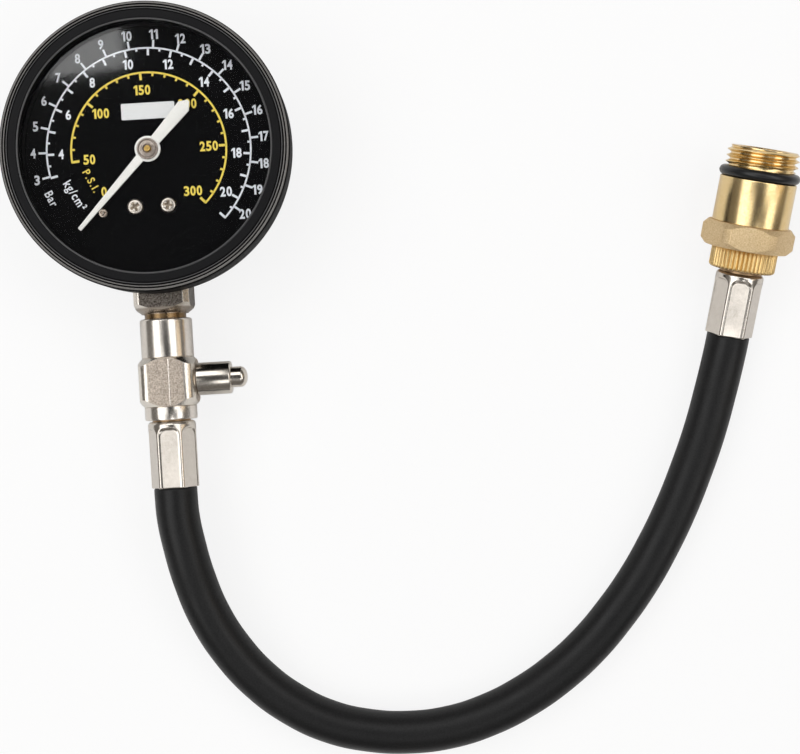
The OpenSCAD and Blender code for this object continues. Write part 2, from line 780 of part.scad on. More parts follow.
// Space in the block that the end of the pressure tube is soldered into
module tube_seat() {
    rotate([0, 0, tube_tip_angle + tube_sweep + seat_play - seat_angle]) rotate_extrude(angle = seat_angle)
        translate([tube_bend_r - tube_w / 2 - run_gap, tube_z - tube_h / 2 - run_gap])
        square([tube_w + 2 * run_gap, tube_h + 2 * run_gap]);
}

module case_screws() color([0.7, 0.7, 0.68]) both_sides()
    translate([case_screw_x, -case_screw_y, dimple_depth]) {
        mirror([0, 0, 1]) difference() {
            pan_head(screw_head_r, screw_head_h);
            scale(2) cross_recess(screw_head_h / 2);
        }
        cylinder(r = case_screw_r, h = case_wall + case_screw_l - dimple_depth);
    }

// Forged block with rounded corners, turned to a cone at both ends
module forged_block() {
    intersection() {
        linear_extrude(forged_l) rounded_square(forged_w, forged_h, forged_corner_r);
        rotate_extrude() polygon([[0, 0], [forged_end_r, 0], [forged_end_r + forged_cone, forged_cone],
            [forged_end_r + forged_cone, forged_l - forged_cone], [forged_end_r, forged_l], [0, forged_l]]);
    }
    translate([seam_x - seam_w / 2, forged_h / 2 - seam_h, forged_cone / 2])
        cube([seam_w, 2 * seam_h, forged_l - forged_cone]);
}

module valve_body() color([0.76, 0.73, 0.7]) difference() {
    union() {
        on_stem(valve_y) turned(valve_r, valve_top_l, valve_edge, 0);
        on_stem(valve_y + valve_top_l - fit_gap) cylinder(r = forged_end_r, h = forged_l + 2 * fit_gap);
        on_stem(forged_y) forged_block();
        on_stem(collar_y) turned(valve_r, valve_low_l, 0, valve_edge / 2);
    }
    on_stem(valve_y - cut) cylinder(r = spigot_r + run_gap, h = spigot_l + fit_gap + cut);
    on_stem(valve_y) cylinder(r = channel_r, h = valve_end - valve_y + cut);
    on_stem(valve_end - nipple_thread_l - fit_gap) cylinder(r = nipple_thread_r + run_gap, h = nipple_thread_l + fit_gap + cut);
    on_side(side_chamber_in) cylinder(r = side_thread_r + run_gap, h = side_face - side_chamber_in + cut);
}

module release_barrel() color([0.76, 0.74, 0.71]) difference() {
    union() {
        on_side(side_face) turned(side_d / 2, side_reach - side_face, 0, side_edge);
        on_side(side_thread_in) cylinder(r = side_thread_r, h = side_face - side_thread_in + fit_gap);
    }
    on_side(side_thread_in - cut) cylinder(r = stem_r + run_gap, h = side_reach - side_thread_in + cut);
    on_side(side_thread_in + 2 * release_seal_t)
        cylinder(r = 2 * stem_r, h = side_wall_in - side_thread_in - 2 * release_seal_t);
    on_side(side_wall_out) cylinder(r = button_r + run_gap, h = side_reach - side_wall_out + cut);
}

module release_button() color([0.8, 0.78, 0.76]) {
    on_side(button_back) rotate_extrude() polygon(concat([[0, 0], [button_r, 0]],
        [for (i = [0 : 8]) let (a = i * 90 / 8)
            [button_r * cos(a), side_reach + button_out - button_back + button_dome * sin(a)]]));
    on_side(stem_in) cylinder(r = stem_r, h = button_back - stem_in + fit_gap);
    on_side(stem_in) cylinder(r = stem_rivet_r, h = stem_rivet_h);
}

// Points round the wire of a coil at one of its steps
function wire_ring(r, wire, lift, i) = [for (k = [0 : 5])
    let (a = i * 30, b = k * 60, q = r + wire / 2 * cos(b))
    [q * cos(a), q * sin(a), wire / 2 + i * lift + wire / 2 * sin(b)]];

// Round wire coil about +Z
module coil(r, wire, turns, h) {
    steps = turns * 12;
    lift = (h - wire) / steps;
    points = [for (i = [0 : steps]) each wire_ring(r, wire, lift, i)];
    sides = [for (i = [0 : steps - 1], k = [0 : 5]) let (n = (k + 1) % 6)
        [i * 6 + k, i * 6 + n, i * 6 + 6 + n, i * 6 + 6 + k]];
    polyhedron(points, concat([[5, 4, 3, 2, 1, 0]], sides, [[for (k = [0 : 5]) steps * 6 + k]]));
}

module release_spring() color([0.7, 0.7, 0.7])
    on_side(side_wall_out) coil(release_coil_r, release_wire, release_turns, button_back - side_wall_out - run_gap);

module release_seal() color([0.05, 0.05, 0.05])
    on_side(side_thread_in - fit_gap - release_seal_t) ring(release_seal_r, stem_r + run_gap / 2, release_seal_t);

// Threaded nipple whose barbed tail holds the inside of the hose
module hose_barb(length) {
    rotate_extrude() polygon(concat([[0, 0], [nipple_tail_r, 0]],
        [for (z = [barb_step : barb_step : length - barb_step / 2])
            each [[nipple_tail_r - barb_h, z], [nipple_tail_r, z]]],
        [[nipple_tail_r - barb_h, length], [0, length]]));
}

module near_nipple() color([0.55, 0.42, 0.25]) difference() {
    union() {
        on_stem(valve_end - nipple_thread_l) cylinder(r = nipple_thread_r, h = nipple_thread_l + fit_gap);
        on_stem(valve_end) cylinder(r = nipple_neck_r, h = nipple_neck_l);
        on_stem(valve_end + nipple_neck_l - fit_gap) hose_barb(near_ferrule_l - nipple_neck_l);
    }
    on_stem(valve_end - nipple_thread_l - cut)
        cylinder(r = channel_r, h = nipple_thread_l + near_ferrule_l + 2 * cut);
}

// Ferrule with its mouth at zero: six pressed panels run out to the mouth, a
// rounded shoulder closes the other end
module ferrule(length) {
    r = ferrule_d / 2;
    difference() {
        rotate_extrude() polygon(concat([[0, 0], [r, 0]],
            arc(r - ferrule_round, length - ferrule_round, ferrule_round, 0, 90, 6), [[0, length]]));
        rotate_extrude() polygon([[0, -cut], [mouth_bore_r, -cut], [mouth_bore_r, 0],
            [ferrule_bore_r, ferrule_mouth], [ferrule_bore_r, length - nipple_neck_l + ferrule_gap],
            [nipple_neck_r + run_gap, length - nipple_neck_l + ferrule_gap],
            [nipple_neck_r + run_gap, length + cut], [0, length + cut]]);
        for (a = [0 : 60 : 300]) rotate([0, 0, a]) translate([crimp_w / 2, 0, 0]) rotate([0, 90, 0])
            linear_extrude(r) crimp_panel(length - panel_end);
    }
}

// Outline of one pressed panel, open at the mouth and with rounded corners at its end
module crimp_panel(length) {
    translate([-length / 2, 0]) rounded_square(length, panel_w, panel_round);
    translate([-length / 2, -panel_w / 2]) square([length / 2 + cut, panel_w]);
}

module near_ferrule() color([0.74, 0.71, 0.67])
    on_stem(near_ferrule_y + near_ferrule_l) rotate([180, 0, near_ferrule_turn]) ferrule(near_ferrule_l);

module far_ferrule() color([0.74, 0.71, 0.67]) on_far(0) rotate([0, 0, far_ferrule_turn]) ferrule(far_ferrule_l);

// Direction of a path at one of its points, and a ring of points round it there
function along(path, i) = let (t = path[min(i + 1, len(path) - 1)] - path[max(i - 1, 0)]) t / norm(t);
function path_ring(path, i, r) =
    let (t = along(path, i), u = cross(t, [0, 0, 1]) / norm(cross(t, [0, 0, 1])), v = cross(u, t))
    [for (k = [0 : hose_sides - 1]) let (a = k * 360 / hose_sides) path[i] + r * (cos(a) * u + sin(a) * v)];

// Rubber hose: a tube swept along its route, squeezed inside the ferrules
module hose() color([0.04, 0.04, 0.045]) {
    mouth_y = near_ferrule_y + near_ferrule_l;
    near_end = [[0, -near_hose_y, stem_z], [0, -mouth_y + ferrule_mouth, stem_z], [0, -mouth_y, stem_z],
        [0, -mouth_y - hose_swell, stem_z]];
    far_end = [far_p - hose_swell * far_way, far_p, far_p + ferrule_mouth * far_way,
        far_p + (far_hose_z - fit_gap) * far_way];
    path = concat(near_end, hose_route, far_end);
    last = len(path) - 1;
    near_radii = [squeezed_r, squeezed_r, mouth_bore_r - run_gap];
    radii = [for (i = [0 : last]) let (e = min(i, last - i)) e < 3 ? near_radii[e] : hose_d / 2];
    outer = [for (i = [0 : last]) each path_ring(path, i, radii[i])];
    inner = [for (i = [0 : last]) each path_ring(path, i, hose_bore / 2)];
    n = hose_sides;
    m = len(outer);
    walls = [for (i = [0 : last - 1], k = [0 : n - 1]) let (a = i * n + k, b = i * n + (k + 1) % n)
        each [[a, b, b + n, a + n], [m + a, m + a + n, m + b + n, m + b]]];
    ends = [for (k = [0 : n - 1]) let (a = k, b = (k + 1) % n, c = last * n + k, d = last * n + (k + 1) % n)
        each [[a, m + a, m + b, b], [c, d, m + d, m + c]]];
    polyhedron(concat(outer, inner), concat(walls, ends));
}

// Straight knurl cut round a collar
module knurl(r, h) {
    intersection() {
        linear_extrude(h) polygon([for (i = [0 : 2 * knurl_count - 1])
            let (a = i * 180 / knurl_count, q = i % 2 == 0 ? r : r - knurl_depth) [q * cos(a), q * sin(a)]]);
        turned(r + fit_gap, h, 2 * knurl_depth, knurl_depth);
    }
}

module end_fitting() color([0.8, 0.62, 0.32]) difference() {
    union() {
        on_far(fit_gap) mirror([0, 0, 1]) translate([0, 0, -far_hose_z - fit_gap]) hose_barb(far_hose_z);
        on_far(far_hose_z) cylinder(r = nipple_neck_r, h = knurl_z - far_hose_z);
        on_far(far_ferrule_l + fit_gap / 2) cylinder(r = far_neck_r, h = far_neck_l);
        on_far(knurl_z) knurl(knurl_d / 2, knurl_l);
        on_far(hex_z - fit_gap) turned(far_spigot_r, far_spigot_l + fit_gap, 0, 2 * fit_gap);
    }
    on_far(-cut) cylinder(r = far_bore_r, h = hex_z + far_spigot_l + 2 * cut);
}

// Hexagon with a turned chamfer on both faces
module chamfered_hex(w, h) {
    corner = w / 2 / cos(30);
    intersection() {
        rotate([0, 0, 30 - hex_turn]) cylinder(r = corner, h = h, $fn = 6);
        turned(corner + fit_gap, h, hex_chamfer_r + fit_gap, hex_chamfer_r + fit_gap);
    }
}

module adapter() color([0.82, 0.64, 0.34]) difference() {
    union() {
        on_far(hex_z) chamfered_hex(hex_w, hex_l);
        on_far(body_z - fit_gap) rotate_extrude() polygon([[0, 0], [adapter_d / 2, 0],
            [adapter_d / 2, adapter_l - body_step_l], [adapter_d / 2 - body_step / 2, adapter_l - body_step_l + fit_gap],
            [adapter_d / 2 - body_step, adapter_l + fit_gap], [0, adapter_l + fit_gap]]);
        on_far(groove_z) cylinder(r = oring_d / 2 - oring_t - run_gap, h = oring_t + fit_gap);
        on_far(thread_z) turned(plug_thread_d / 2, plug_thread_l, 0, thread_chamfer);
    }
    on_far(hex_z - cut) cylinder(r = far_spigot_r + run_gap, h = far_spigot_l + release_seal_t + cut);
    on_far(hex_z) cylinder(r = core_r + run_gap, h = end_z - hex_z + cut);
    on_far(end_z - recess_depth) cylinder(r = recess_r, h = recess_depth + cut);
}

module adapter_oring() color([0.03, 0.03, 0.03]) on_far(groove_z + oring_t / 2)
    rotate_extrude() translate([oring_d / 2 - oring_t / 2, 0]) circle(oring_t / 2 - run_gap, $fn = 32);

module core_barrel() color([0.78, 0.62, 0.34]) on_far(core_start) difference() {
    cylinder(r = core_r, h = core_end - core_start);
    translate([0, 0, -cut]) cylinder(r = core_hole_r, h = core_end - core_start + 2 * cut);
    translate([0, 0, core_wall]) cylinder(r = core_cavity_r, h = core_end - core_start - 2 * core_wall);
}

module core_pin() color([0.82, 0.7, 0.45]) {
    low = core_start - core_seal_t - fit_gap;
    on_far(low) turned(core_pin_r, core_end + core_pin_out - low, 0, core_pin_r / 2);
    on_far(core_collar_z) cylinder(r = core_collar_r, h = core_collar_t);
}

module core_seal() color([0.05, 0.05, 0.05])
    on_far(core_start - core_seal_t - fit_gap / 2) ring(core_seal_r, core_pin_r + run_gap / 2, core_seal_t);

module core_spring() color([0.7, 0.7, 0.7]) on_far(core_start + core_wall + run_gap)
    coil(core_coil_r, core_wire, core_turns, core_collar_z - core_travel - core_start - core_wall - fit_gap);

gauge_case();
bezel_ring();
window();
window_gasket();
dial_plate();
dial_screws();
dial_posts();
stop_pin();
pointer();
pointer_hub();
pinion_arbor();
sector_gear();
sector_shaft();
link();
link_pins();
hairspring();
hairspring_stud();
back_plate();
front_plate();
plate_pillars();
movement_screws();
pressure_tube();
tube_tip_block();
pressure_socket();
case_screws();
valve_body();
release_barrel();
release_button();
release_spring();
release_seal();
near_nipple();
near_ferrule();
hose();
far_ferrule();
end_fitting();
adapter();
adapter_oring();
core_barrel();
core_pin();
core_seal();
core_spring();
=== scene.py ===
# %% [markdown]
# # Compression tester gauge
# A mechanic screws this gauge into a spark plug hole and reads how much
# pressure the engine makes. The solids come from a CAD model. This lesson
# models the visible pieces again with finer edges and dresses them: enamel,
# plating, turned brass, print on the dial and a rubber hose.

# %% Load the solid model
import math
import bpy
from mathutils import Matrix, Vector


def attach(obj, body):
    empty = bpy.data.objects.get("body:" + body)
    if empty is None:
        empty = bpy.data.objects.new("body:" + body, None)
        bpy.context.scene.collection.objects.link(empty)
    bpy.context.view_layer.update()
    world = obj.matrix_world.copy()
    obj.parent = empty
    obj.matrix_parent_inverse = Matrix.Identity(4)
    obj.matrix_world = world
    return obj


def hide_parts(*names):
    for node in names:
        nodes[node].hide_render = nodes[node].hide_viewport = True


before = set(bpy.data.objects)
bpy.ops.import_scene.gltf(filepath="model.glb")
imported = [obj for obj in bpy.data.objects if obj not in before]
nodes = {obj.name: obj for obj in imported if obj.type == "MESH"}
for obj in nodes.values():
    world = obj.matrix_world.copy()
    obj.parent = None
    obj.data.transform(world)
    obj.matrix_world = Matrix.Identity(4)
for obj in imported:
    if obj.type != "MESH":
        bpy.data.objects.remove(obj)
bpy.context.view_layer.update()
mm = 0.001
print("nodes loaded:", len(nodes))

# %% [markdown]
# ## Camera
# The photograph looks straight down on the gauge from about 40 cm, and the
# gauge lies turned by a few degrees. Turning the camera instead of the gauge
# keeps the model square to its own axes.

# %% Camera above the gauge
picture_turn = math.radians(3.4)
camera_data = bpy.data.cameras.new("photo_camera")
camera_data.sensor_width = 36
camera_data.lens = 69.1
camera_data.clip_start = 0.01
camera = bpy.data.objects.new("photo_camera", camera_data)
bpy.context.scene.collection.objects.link(camera)
camera.location = (58.15 * mm, -59.2 * mm, 400 * mm)
camera.rotation_euler = (0, 0, -picture_turn)
bpy.context.scene.camera = camera
bpy.context.scene.view_settings.view_transform = "Standard"

# %% [markdown]
# ## Modelling helpers
# Operators act on whatever is selected, so each helper deselects first. A
# finished piece keeps its object at the origin and its place in its mesh, as
# the CAD solids do.

# %% Deselect, apply, join and smooth
def deselect():
    bpy.ops.object.select_all(action="DESELECT")


def pick(piece):
    deselect()
    piece.select_set(True)
    bpy.context.view_layer.objects.active = piece


def put(piece, matrix):
    """Moves a piece to its place and writes the place into its mesh."""
    pick(piece)
    piece.matrix_world = matrix
    bpy.ops.object.transform_apply(location=True, rotation=True, scale=True)


def join(name, pieces):
    deselect()
    for piece in pieces:
        piece.select_set(True)
    bpy.context.view_layer.objects.active = pieces[0]
    bpy.ops.object.join()
    whole = bpy.context.object
    whole.name = name
    return whole


def smooth(piece, degrees=30):
    pick(piece)
    bpy.ops.object.shade_smooth_by_angle(angle=math.radians(degrees))

# %% Edges, cuts and closed shells
def bevel(piece, width, segments=2, degrees=30):
    """Rounds the sharp edges, because no real edge is perfectly sharp."""
    step = piece.modifiers.new("edges", "BEVEL")
    step.width = width * mm
    step.segments = segments
    step.limit_method = "ANGLE"
    step.angle_limit = math.radians(degrees)
    pick(piece)
    bpy.ops.object.modifier_apply(modifier="edges")


def carve(piece, tool, operation="DIFFERENCE"):
    """Cuts a piece with a tool, or keeps or adds what the tool covers, and removes the tool."""
    step = piece.modifiers.new("carve", "BOOLEAN")
    step.operation = operation
    step.object = tool
    pick(piece)
    bpy.ops.object.modifier_apply(modifier="carve")
    pick(tool)
    bpy.ops.object.delete()


def close_up(piece):
    """Merges doubled points and turns all faces outwards."""
    pick(piece)
    bpy.ops.object.mode_set(mode="EDIT")
    bpy.ops.mesh.select_all(action="SELECT")
    bpy.ops.mesh.remove_doubles(threshold=1e-6)
    bpy.ops.mesh.normals_make_consistent(inside=False)
    bpy.ops.object.mode_set(mode="OBJECT")

# %% Start a line of points, then a lathe that spins it
def first_point(name, x, y, z):
    deselect()
    bpy.ops.mesh.primitive_plane_add(size=mm)
    piece = bpy.context.object
    piece.name = name
    bpy.ops.object.mode_set(mode="EDIT")
    bpy.ops.mesh.select_all(action="SELECT")
    bpy.ops.mesh.merge(type="CENTER")
    bpy.ops.transform.translate(value=(x * mm, y * mm, z * mm))
    return piece


def next_point(x, y, z):
    bpy.ops.mesh.extrude_region_move(TRANSFORM_OT_translate={"value": (x * mm, y * mm, z * mm)})


def spun(name, profile, steps=96, turn=math.tau):
    """Turns a profile of radius and height, in millimetres, round the Z axis."""
    piece = first_point(name, profile[0][0], 0, profile[0][1])
    for (r0, z0), (r1, z1) in zip(profile, profile[1:]):
        next_point(r1 - r0, 0, z1 - z0)
    bpy.ops.mesh.select_all(action="SELECT")
    bpy.ops.mesh.spin(steps=steps, angle=turn, center=(0, 0, 0), axis=(0, 0, 1))
    bpy.ops.object.mode_set(mode="OBJECT")
    close_up(piece)
    return piece


def sheet_of(name, points, thickness):
    """A flat outline, filled and extruded to its thickness."""
    piece = first_point(name, points[0][0], points[0][1], 0)
    for (x0, y0), (x1, y1) in zip(points, points[1:]):
        next_point(x1 - x0, y1 - y0, 0)
    bpy.ops.mesh.select_all(action="SELECT")
    bpy.ops.mesh.edge_face_add()
    next_point(0, 0, thickness)
    bpy.ops.object.mode_set(mode="OBJECT")
    close_up(piece)
    return piece


def corner(x, y, r, start, end, steps=6):
    """Points round a corner of a profile, in millimetres."""
    angles = [math.radians(start + (end - start) * i / steps) for i in range(steps + 1)]
    return [(x + r * math.cos(a), y + r * math.sin(a)) for a in angles]

# %% Axes that the turned pieces lie on
stem_z = 12.5
side_y = 56.691
far_point = Vector((142.77, -53.28, 6.6))
far_turn = math.radians(78)
far_rise = math.radians(12)
far_way = Vector((math.cos(far_turn) * math.cos(far_rise), math.sin(far_turn) * math.cos(far_rise),
                  math.sin(far_rise)))


def on_stem(y):
    return Matrix.Translation((0, -y * mm, stem_z * mm)) @ Matrix.Rotation(math.radians(90), 4, "X")


def on_side(x):
    return Matrix.Translation((x * mm, -side_y * mm, stem_z * mm)) @ Matrix.Rotation(math.radians(90), 4, "Y")


def on_far(t):
    return (Matrix.Translation(far_point * mm) @ Matrix.Rotation(far_turn, 4, "Z")
            @ Matrix.Rotation(math.radians(90) - far_rise, 4, "Y") @ Matrix.Translation((0, 0, t * mm)))

# %% [markdown]
# ## The hose
# A short rubber pressure hose links the two ends. It is modelled first, as one
# smooth curve through the points that the solid hose follows. Inside the
# ferrules it is squeezed, and it swells to its full width just outside them.

# %% Route of the hose
near_route = [((0, -68.1, 12.5), 4.2), ((0, -80.8, 12.5), 4.2), ((0, -83.6, 12.5), 4.85), ((0, -83.7, 12.5), 5.25),
              ((0, -83.95, 12.5), 5.4), ((0, -85.1, 12.5), 5.4)]
open_route = [(0.2, -91, 12.4), (1.2, -98, 12), (3.2, -107.4, 10.9), (6.5, -117.2, 9.6), (11.4, -126.3, 8.1),
              (17.8, -134.5, 6.8), (25.7, -141.3, 5.9), (34.8, -146.4, 5.5), (44.8, -149.3, 5.5), (55.2, -150.4, 5.5),
              (65.7, -149.7, 5.5), (75.8, -147.1, 5.5), (85.4, -142.9, 5.5), (94.3, -137.4, 5.5),
              (102.4, -130.8, 5.5),
              (109.6, -123.2, 5.5), (116.1, -115, 5.5), (121.8, -106.2, 5.5), (126.9, -97, 5.5), (131.3, -87.6, 5.5),
              (135.3, -77.9, 5.5), (138.7, -67.9, 5.5), (141.67, -58, 5.78)]
far_route = [(tuple(far_point + t * far_way), r) for t,
             r in ((-1.5, 5.4), (-0.35, 5.4), (-0.1, 5.25), (0, 4.85), (2.8, 4.2), (14.9, 4.2))]
route = near_route + [(p, 5.4) for p in open_route] + far_route
hose_r = 5.4

# %% A bezier curve through the points
def hose_line(name):
    data = bpy.data.curves.new(name, "CURVE")
    data.dimensions = "3D"
    line = data.splines.new("BEZIER")
    line.bezier_points.add(len(route) - 1)
    for point, (place, radius) in zip(line.bezier_points, route):
        point.co = Vector(place) * mm
        point.handle_left_type = point.handle_right_type = "AUTO"
        point.radius = radius / hose_r
    data.resolution_u = 10
    piece = bpy.data.objects.new(name, data)
    bpy.context.scene.collection.objects.link(piece)
    return piece

# %% The line becomes the path, and a thick copy of it becomes the hose
def rubber_hose():
    thin = hose_line("hose_path")
    pick(thin)
    bpy.ops.object.convert(target="MESH")
    path = [tuple(v.co) for v in bpy.context.object.data.vertices]
    bpy.ops.object.delete()
    thick = hose_line("hose_rubber")
    thick.data.bevel_depth = hose_r * mm
    thick.data.bevel_resolution = 14
    thick.data.use_fill_caps = True
    pick(thick)
    bpy.ops.object.convert(target="MESH")
    close_up(bpy.context.object)
    return bpy.context.object, path


hose, hose_path = rubber_hose()
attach(hose, "root")
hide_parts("hose")

# %% [markdown]
# ## Bezel
# The ring that holds the window is one turned profile: a rounded outer rim,
# three fine lines with grooves between them, a broad dark band and a small
# lip round the window. Spinning the profile gives every line its exact place.

# %% Bezel ring
def bezel_ring():
    profile = [(31.9, 20.8), (34.45, 20.8), (34.9, 21.0), (35.1, 21.45)] + corner(34.0, 29.7, 1.1, 0, 72, 8)
    profile += [(34.3, 30.4), (33.98, 30.4)] + corner(33.82, 30.74, 0.14, 0, 180, 4)
    profile += [(33.66, 30.4), (33.34, 30.4)] + corner(33.18, 30.76, 0.13, 0, 180, 4)
    profile += [(33.03, 30.5), (32.84, 30.5)] + corner(32.68, 30.86, 0.14, 0, 90, 4)
    profile += [(30.96, 30.98), (30.88, 30.75)] + corner(30.62, 30.72, 0.22, 10, 180, 5)
    profile += [(30.4, 28.4), (33.5, 28.4), (33.5, 24.4), (31.9, 24.4), (31.9, 20.8)]
    return spun("bezel", profile, steps=240)


bezel = bezel_ring()
smooth(bezel, 40)
print("bezel faces:", len(bezel.data.polygons))

# %% [markdown]
# ## Release valve body
# The body is a hot-forged block between two turned ends. Forging leaves flat
# grainy faces, round corners and a raised line where the two dies met. The
# block starts as a cube whose long edges are bevelled; a turned shape then cuts
# its ends to the same cone that a lathe leaves.

# %% Forged block with turned ends
def forged_block(width, height, length, corner_r, end_r, cone):
    deselect()
    bpy.ops.mesh.primitive_cube_add(size=mm, location=(0, 0, length / 2 * mm), scale=(width, height, length))
    block = bpy.context.object
    bpy.ops.object.transform_apply(location=True, rotation=True, scale=True)
    bpy.ops.object.mode_set(mode="EDIT")
    bpy.ops.mesh.select_mode(type="EDGE")
    bpy.ops.mesh.select_all(action="DESELECT")
    bpy.ops.object.mode_set(mode="OBJECT")
    for edge in block.data.edges:
        low, high = (block.data.vertices[i].co for i in edge.vertices)
        edge.select = abs(high.z - low.z) > 0.9 * length * mm
    bpy.ops.object.mode_set(mode="EDIT")
    bpy.ops.mesh.bevel(offset=corner_r * mm, segments=10, affect="EDGES")
    bpy.ops.mesh.select_mode(type="VERT")
    bpy.ops.object.mode_set(mode="OBJECT")
    wide = end_r + cone
    turned = spun("turned_ends",
                  [(0, 0), (end_r, 0), (wide, cone), (wide, length - cone), (end_r, length), (0, length)], steps=128)
    carve(block, turned, "INTERSECT")
    return block

# %% Valve body: block, parting line, two turned ends and the side chamber
valve_y, forged_y, collar_y, valve_end = 41.0, 50.9, 63.1, 66.5
forged_l = collar_y - forged_y


def valve_pieces():
    block = forged_block(14.2, 12.9, forged_l, 2.9, 6.5, 2.4)
    put(block, on_stem(forged_y))
    chamber = spun("chamber", [(0, 0.6), (3.05, 0.6), (3.05, 8), (0, 8)], steps=48)
    put(chamber, on_side(0))
    carve(block, chamber)
    bevel(block, 0.12, 2, 25)
    deselect()
    bpy.ops.mesh.primitive_cube_add(size=mm, scale=(0.3, 0.3, forged_l - 0.7))
    seam = bpy.context.object
    bpy.ops.object.transform_apply(location=True, rotation=True, scale=True)
    bevel(seam, 0.1, 2)
    put(seam, on_stem(forged_y + forged_l / 2) @ Matrix.Translation((0.9 * mm, 6.42 * mm, 0)))
    upper = spun("upper", [(0, 0), (5.7, 0)] + corner(5.85, 0.7, 0.7, -80, 0, 5)
                 + [(6.55, 9.7), (6.4, 9.9), (0, 9.9)])
    put(upper, on_stem(valve_y))
    lower = spun("lower", [(0, 0), (6.4, 0), (6.55, 0.15), (6.55, 2.95), (6.45, 3.25), (6.2, 3.4), (0, 3.4)])
    put(lower, on_stem(collar_y))
    return block, seam, upper, lower


valve_block, valve_seam, valve_upper, valve_lower = valve_pieces()
print("forged block faces:", len(valve_block.data.polygons))

# %% [markdown]
# ## Release barrel and button
# A small barrel is screwed into the side of the block, and a domed button
# slides in it. Both come off a lathe, so both are spun.

# %% Barrel and button
def barrel_and_button():
    barrel = spun("barrel",
                  [(3.0, 4.6), (3.0, 7.1), (3.85, 7.1), (4.1, 7.3), (4.1, 15.35), (4.0, 15.62), (3.75, 15.8),
                   (2.8, 15.8),
                             (2.66, 15.68), (2.66, 9.4), (0.76, 9.4), (0.76, 8), (1.4, 8), (1.4, 6.6),
                             (0.76, 6.6), (0.76, 4.6), (3.0, 4.6)])
    put(barrel, on_side(0))
    dome = [(2.6 * math.cos(a), 18.1 + 1.7 * math.sin(a)) for a in (math.radians(i * 7.5) for i in range(13))]
    button = spun("button", [(0, 2.9), (1.1, 2.9), (1.1, 3.4), (0.7, 3.4), (0.7, 13), (2.45, 13), (2.6, 13.15)]
                  + dome, steps=64)
    put(button, on_side(0))
    return barrel, button


barrel, button = barrel_and_button()

# %% [markdown]
# ## Crimped ferrules
# Each hose end is held by a sleeve that a press has squeezed with six flat
# jaws. The jaws leave six panels that run out to the mouth, with rounded
# corners at their inner end and a narrow raised rib between neighbours. A press
# moves metal, so the sleeve is spun as a plain tube and its points are then
# pushed in where a jaw has been.

# %% A plain sleeve, then the jaws
jaw_flat = 5.25
jaw_half = 2.98
side_round, end_round = 2.0, 2.3
jaw_edge = 0.34


def press_depth(angle, height, jaw_end):
    """How far a jaw pushes in a point of the sleeve, in millimetres."""
    off = math.radians((angle + 30) % 60 - 30)
    across = (abs(6 * math.sin(off)) - (jaw_half - side_round)) / side_round
    along = (height - (jaw_end - end_round)) / end_round
    inside = 1 - math.hypot(max(across, 0), max(along, 0))
    share = min(max(inside / jaw_edge, 0), 1)
    return max(6 - jaw_flat / math.cos(off), 0) * share * share * (3 - 2 * share)


def ferrule(name, length, place):
    straight = [(6, 0.3 + (length - 1.35) * i / 96) for i in range(97)]
    profile = [(4.92, 0), (5.75, 0), (5.93, 0.08)] + straight + corner(4.95, length - 1.05, 1.05, 0, 90, 10)
    profile += [(4.86, length), (4.86, length - 1.2), (4.42, length - 1.25), (4.42, 2.8), (4.92, 0)]
    sleeve = spun(name, profile, steps=252)
    for vertex in sleeve.data.vertices:
        radius = math.hypot(vertex.co.x, vertex.co.y)
        if radius > 5 * mm:
            angle = math.degrees(math.atan2(vertex.co.y, vertex.co.x))
            share = 1 - press_depth(angle, vertex.co.z / mm, length - 1.5) * mm / radius
            vertex.co.x *= share
            vertex.co.y *= share
    put(sleeve, place)
    return sleeve


near_ferrule = ferrule("ferrule_near", 16.8, on_stem(83.6) @ Matrix.Rotation(math.radians(180), 4, "X")
                       @ Matrix.Rotation(math.radians(-32), 4, "Z"))
far_ferrule = ferrule("ferrule_far", 16.2, on_far(0) @ Matrix.Rotation(math.radians(-2), 4, "Z"))
print("ferrule faces:", len(near_ferrule.data.polygons))

# %% [markdown]
# ## Knurled fitting
# The fitting on the hose's far end has a straight knurl, so that fingers can
# turn it. Forty-four ribs repeat round it, so the collar is spun with eight
# steps for each rib and a cosine takes material away between the ribs.

# %% Knurled collar with its neck and tail
rib_count = 44
rib_depth = 0.42


def knurled_fitting():
    tail = [(0, 0.1), (2.6, 0.1), (2.6, 14.7), (4.8, 14.7), (4.8, 16.2), (5.3, 16.2), (5.3, 16.95)]
    collar = [(7.45, 16.9)] + corner(7.5, 17.7, 0.8, -80, 0, 6) + [(8.3, 22.0), (8.05, 22.4)]
    fitting = spun("knurled_fitting", tail + collar + [(6, 22.4), (6, 31.8), (0, 31.8)], steps=8 * rib_count)
    for vertex in fitting.data.vertices:
        radius = math.hypot(vertex.co.x, vertex.co.y)
        if radius > 7.4 * mm:
            angle = math.atan2(vertex.co.y, vertex.co.x)
            cut = rib_depth * (1 - abs(math.cos(rib_count / 2 * angle)))
            share = 1 - cut * mm / radius
            vertex.co.x *= share
            vertex.co.y *= share
    put(fitting, on_far(0))
    return fitting


fitting = knurled_fitting()

# %% [markdown]
# ## Adapter
# The adapter is turned from hexagon bar: a hexagon, a smooth body, a groove for
# the O-ring and an M18x1.5 thread. The hexagon is a six-sided cylinder whose
# ends are cut by a cone, as a lathe chamfers it.

# %% Chamfered hexagon
hex_corner = 21 / 2 / math.cos(math.radians(30))


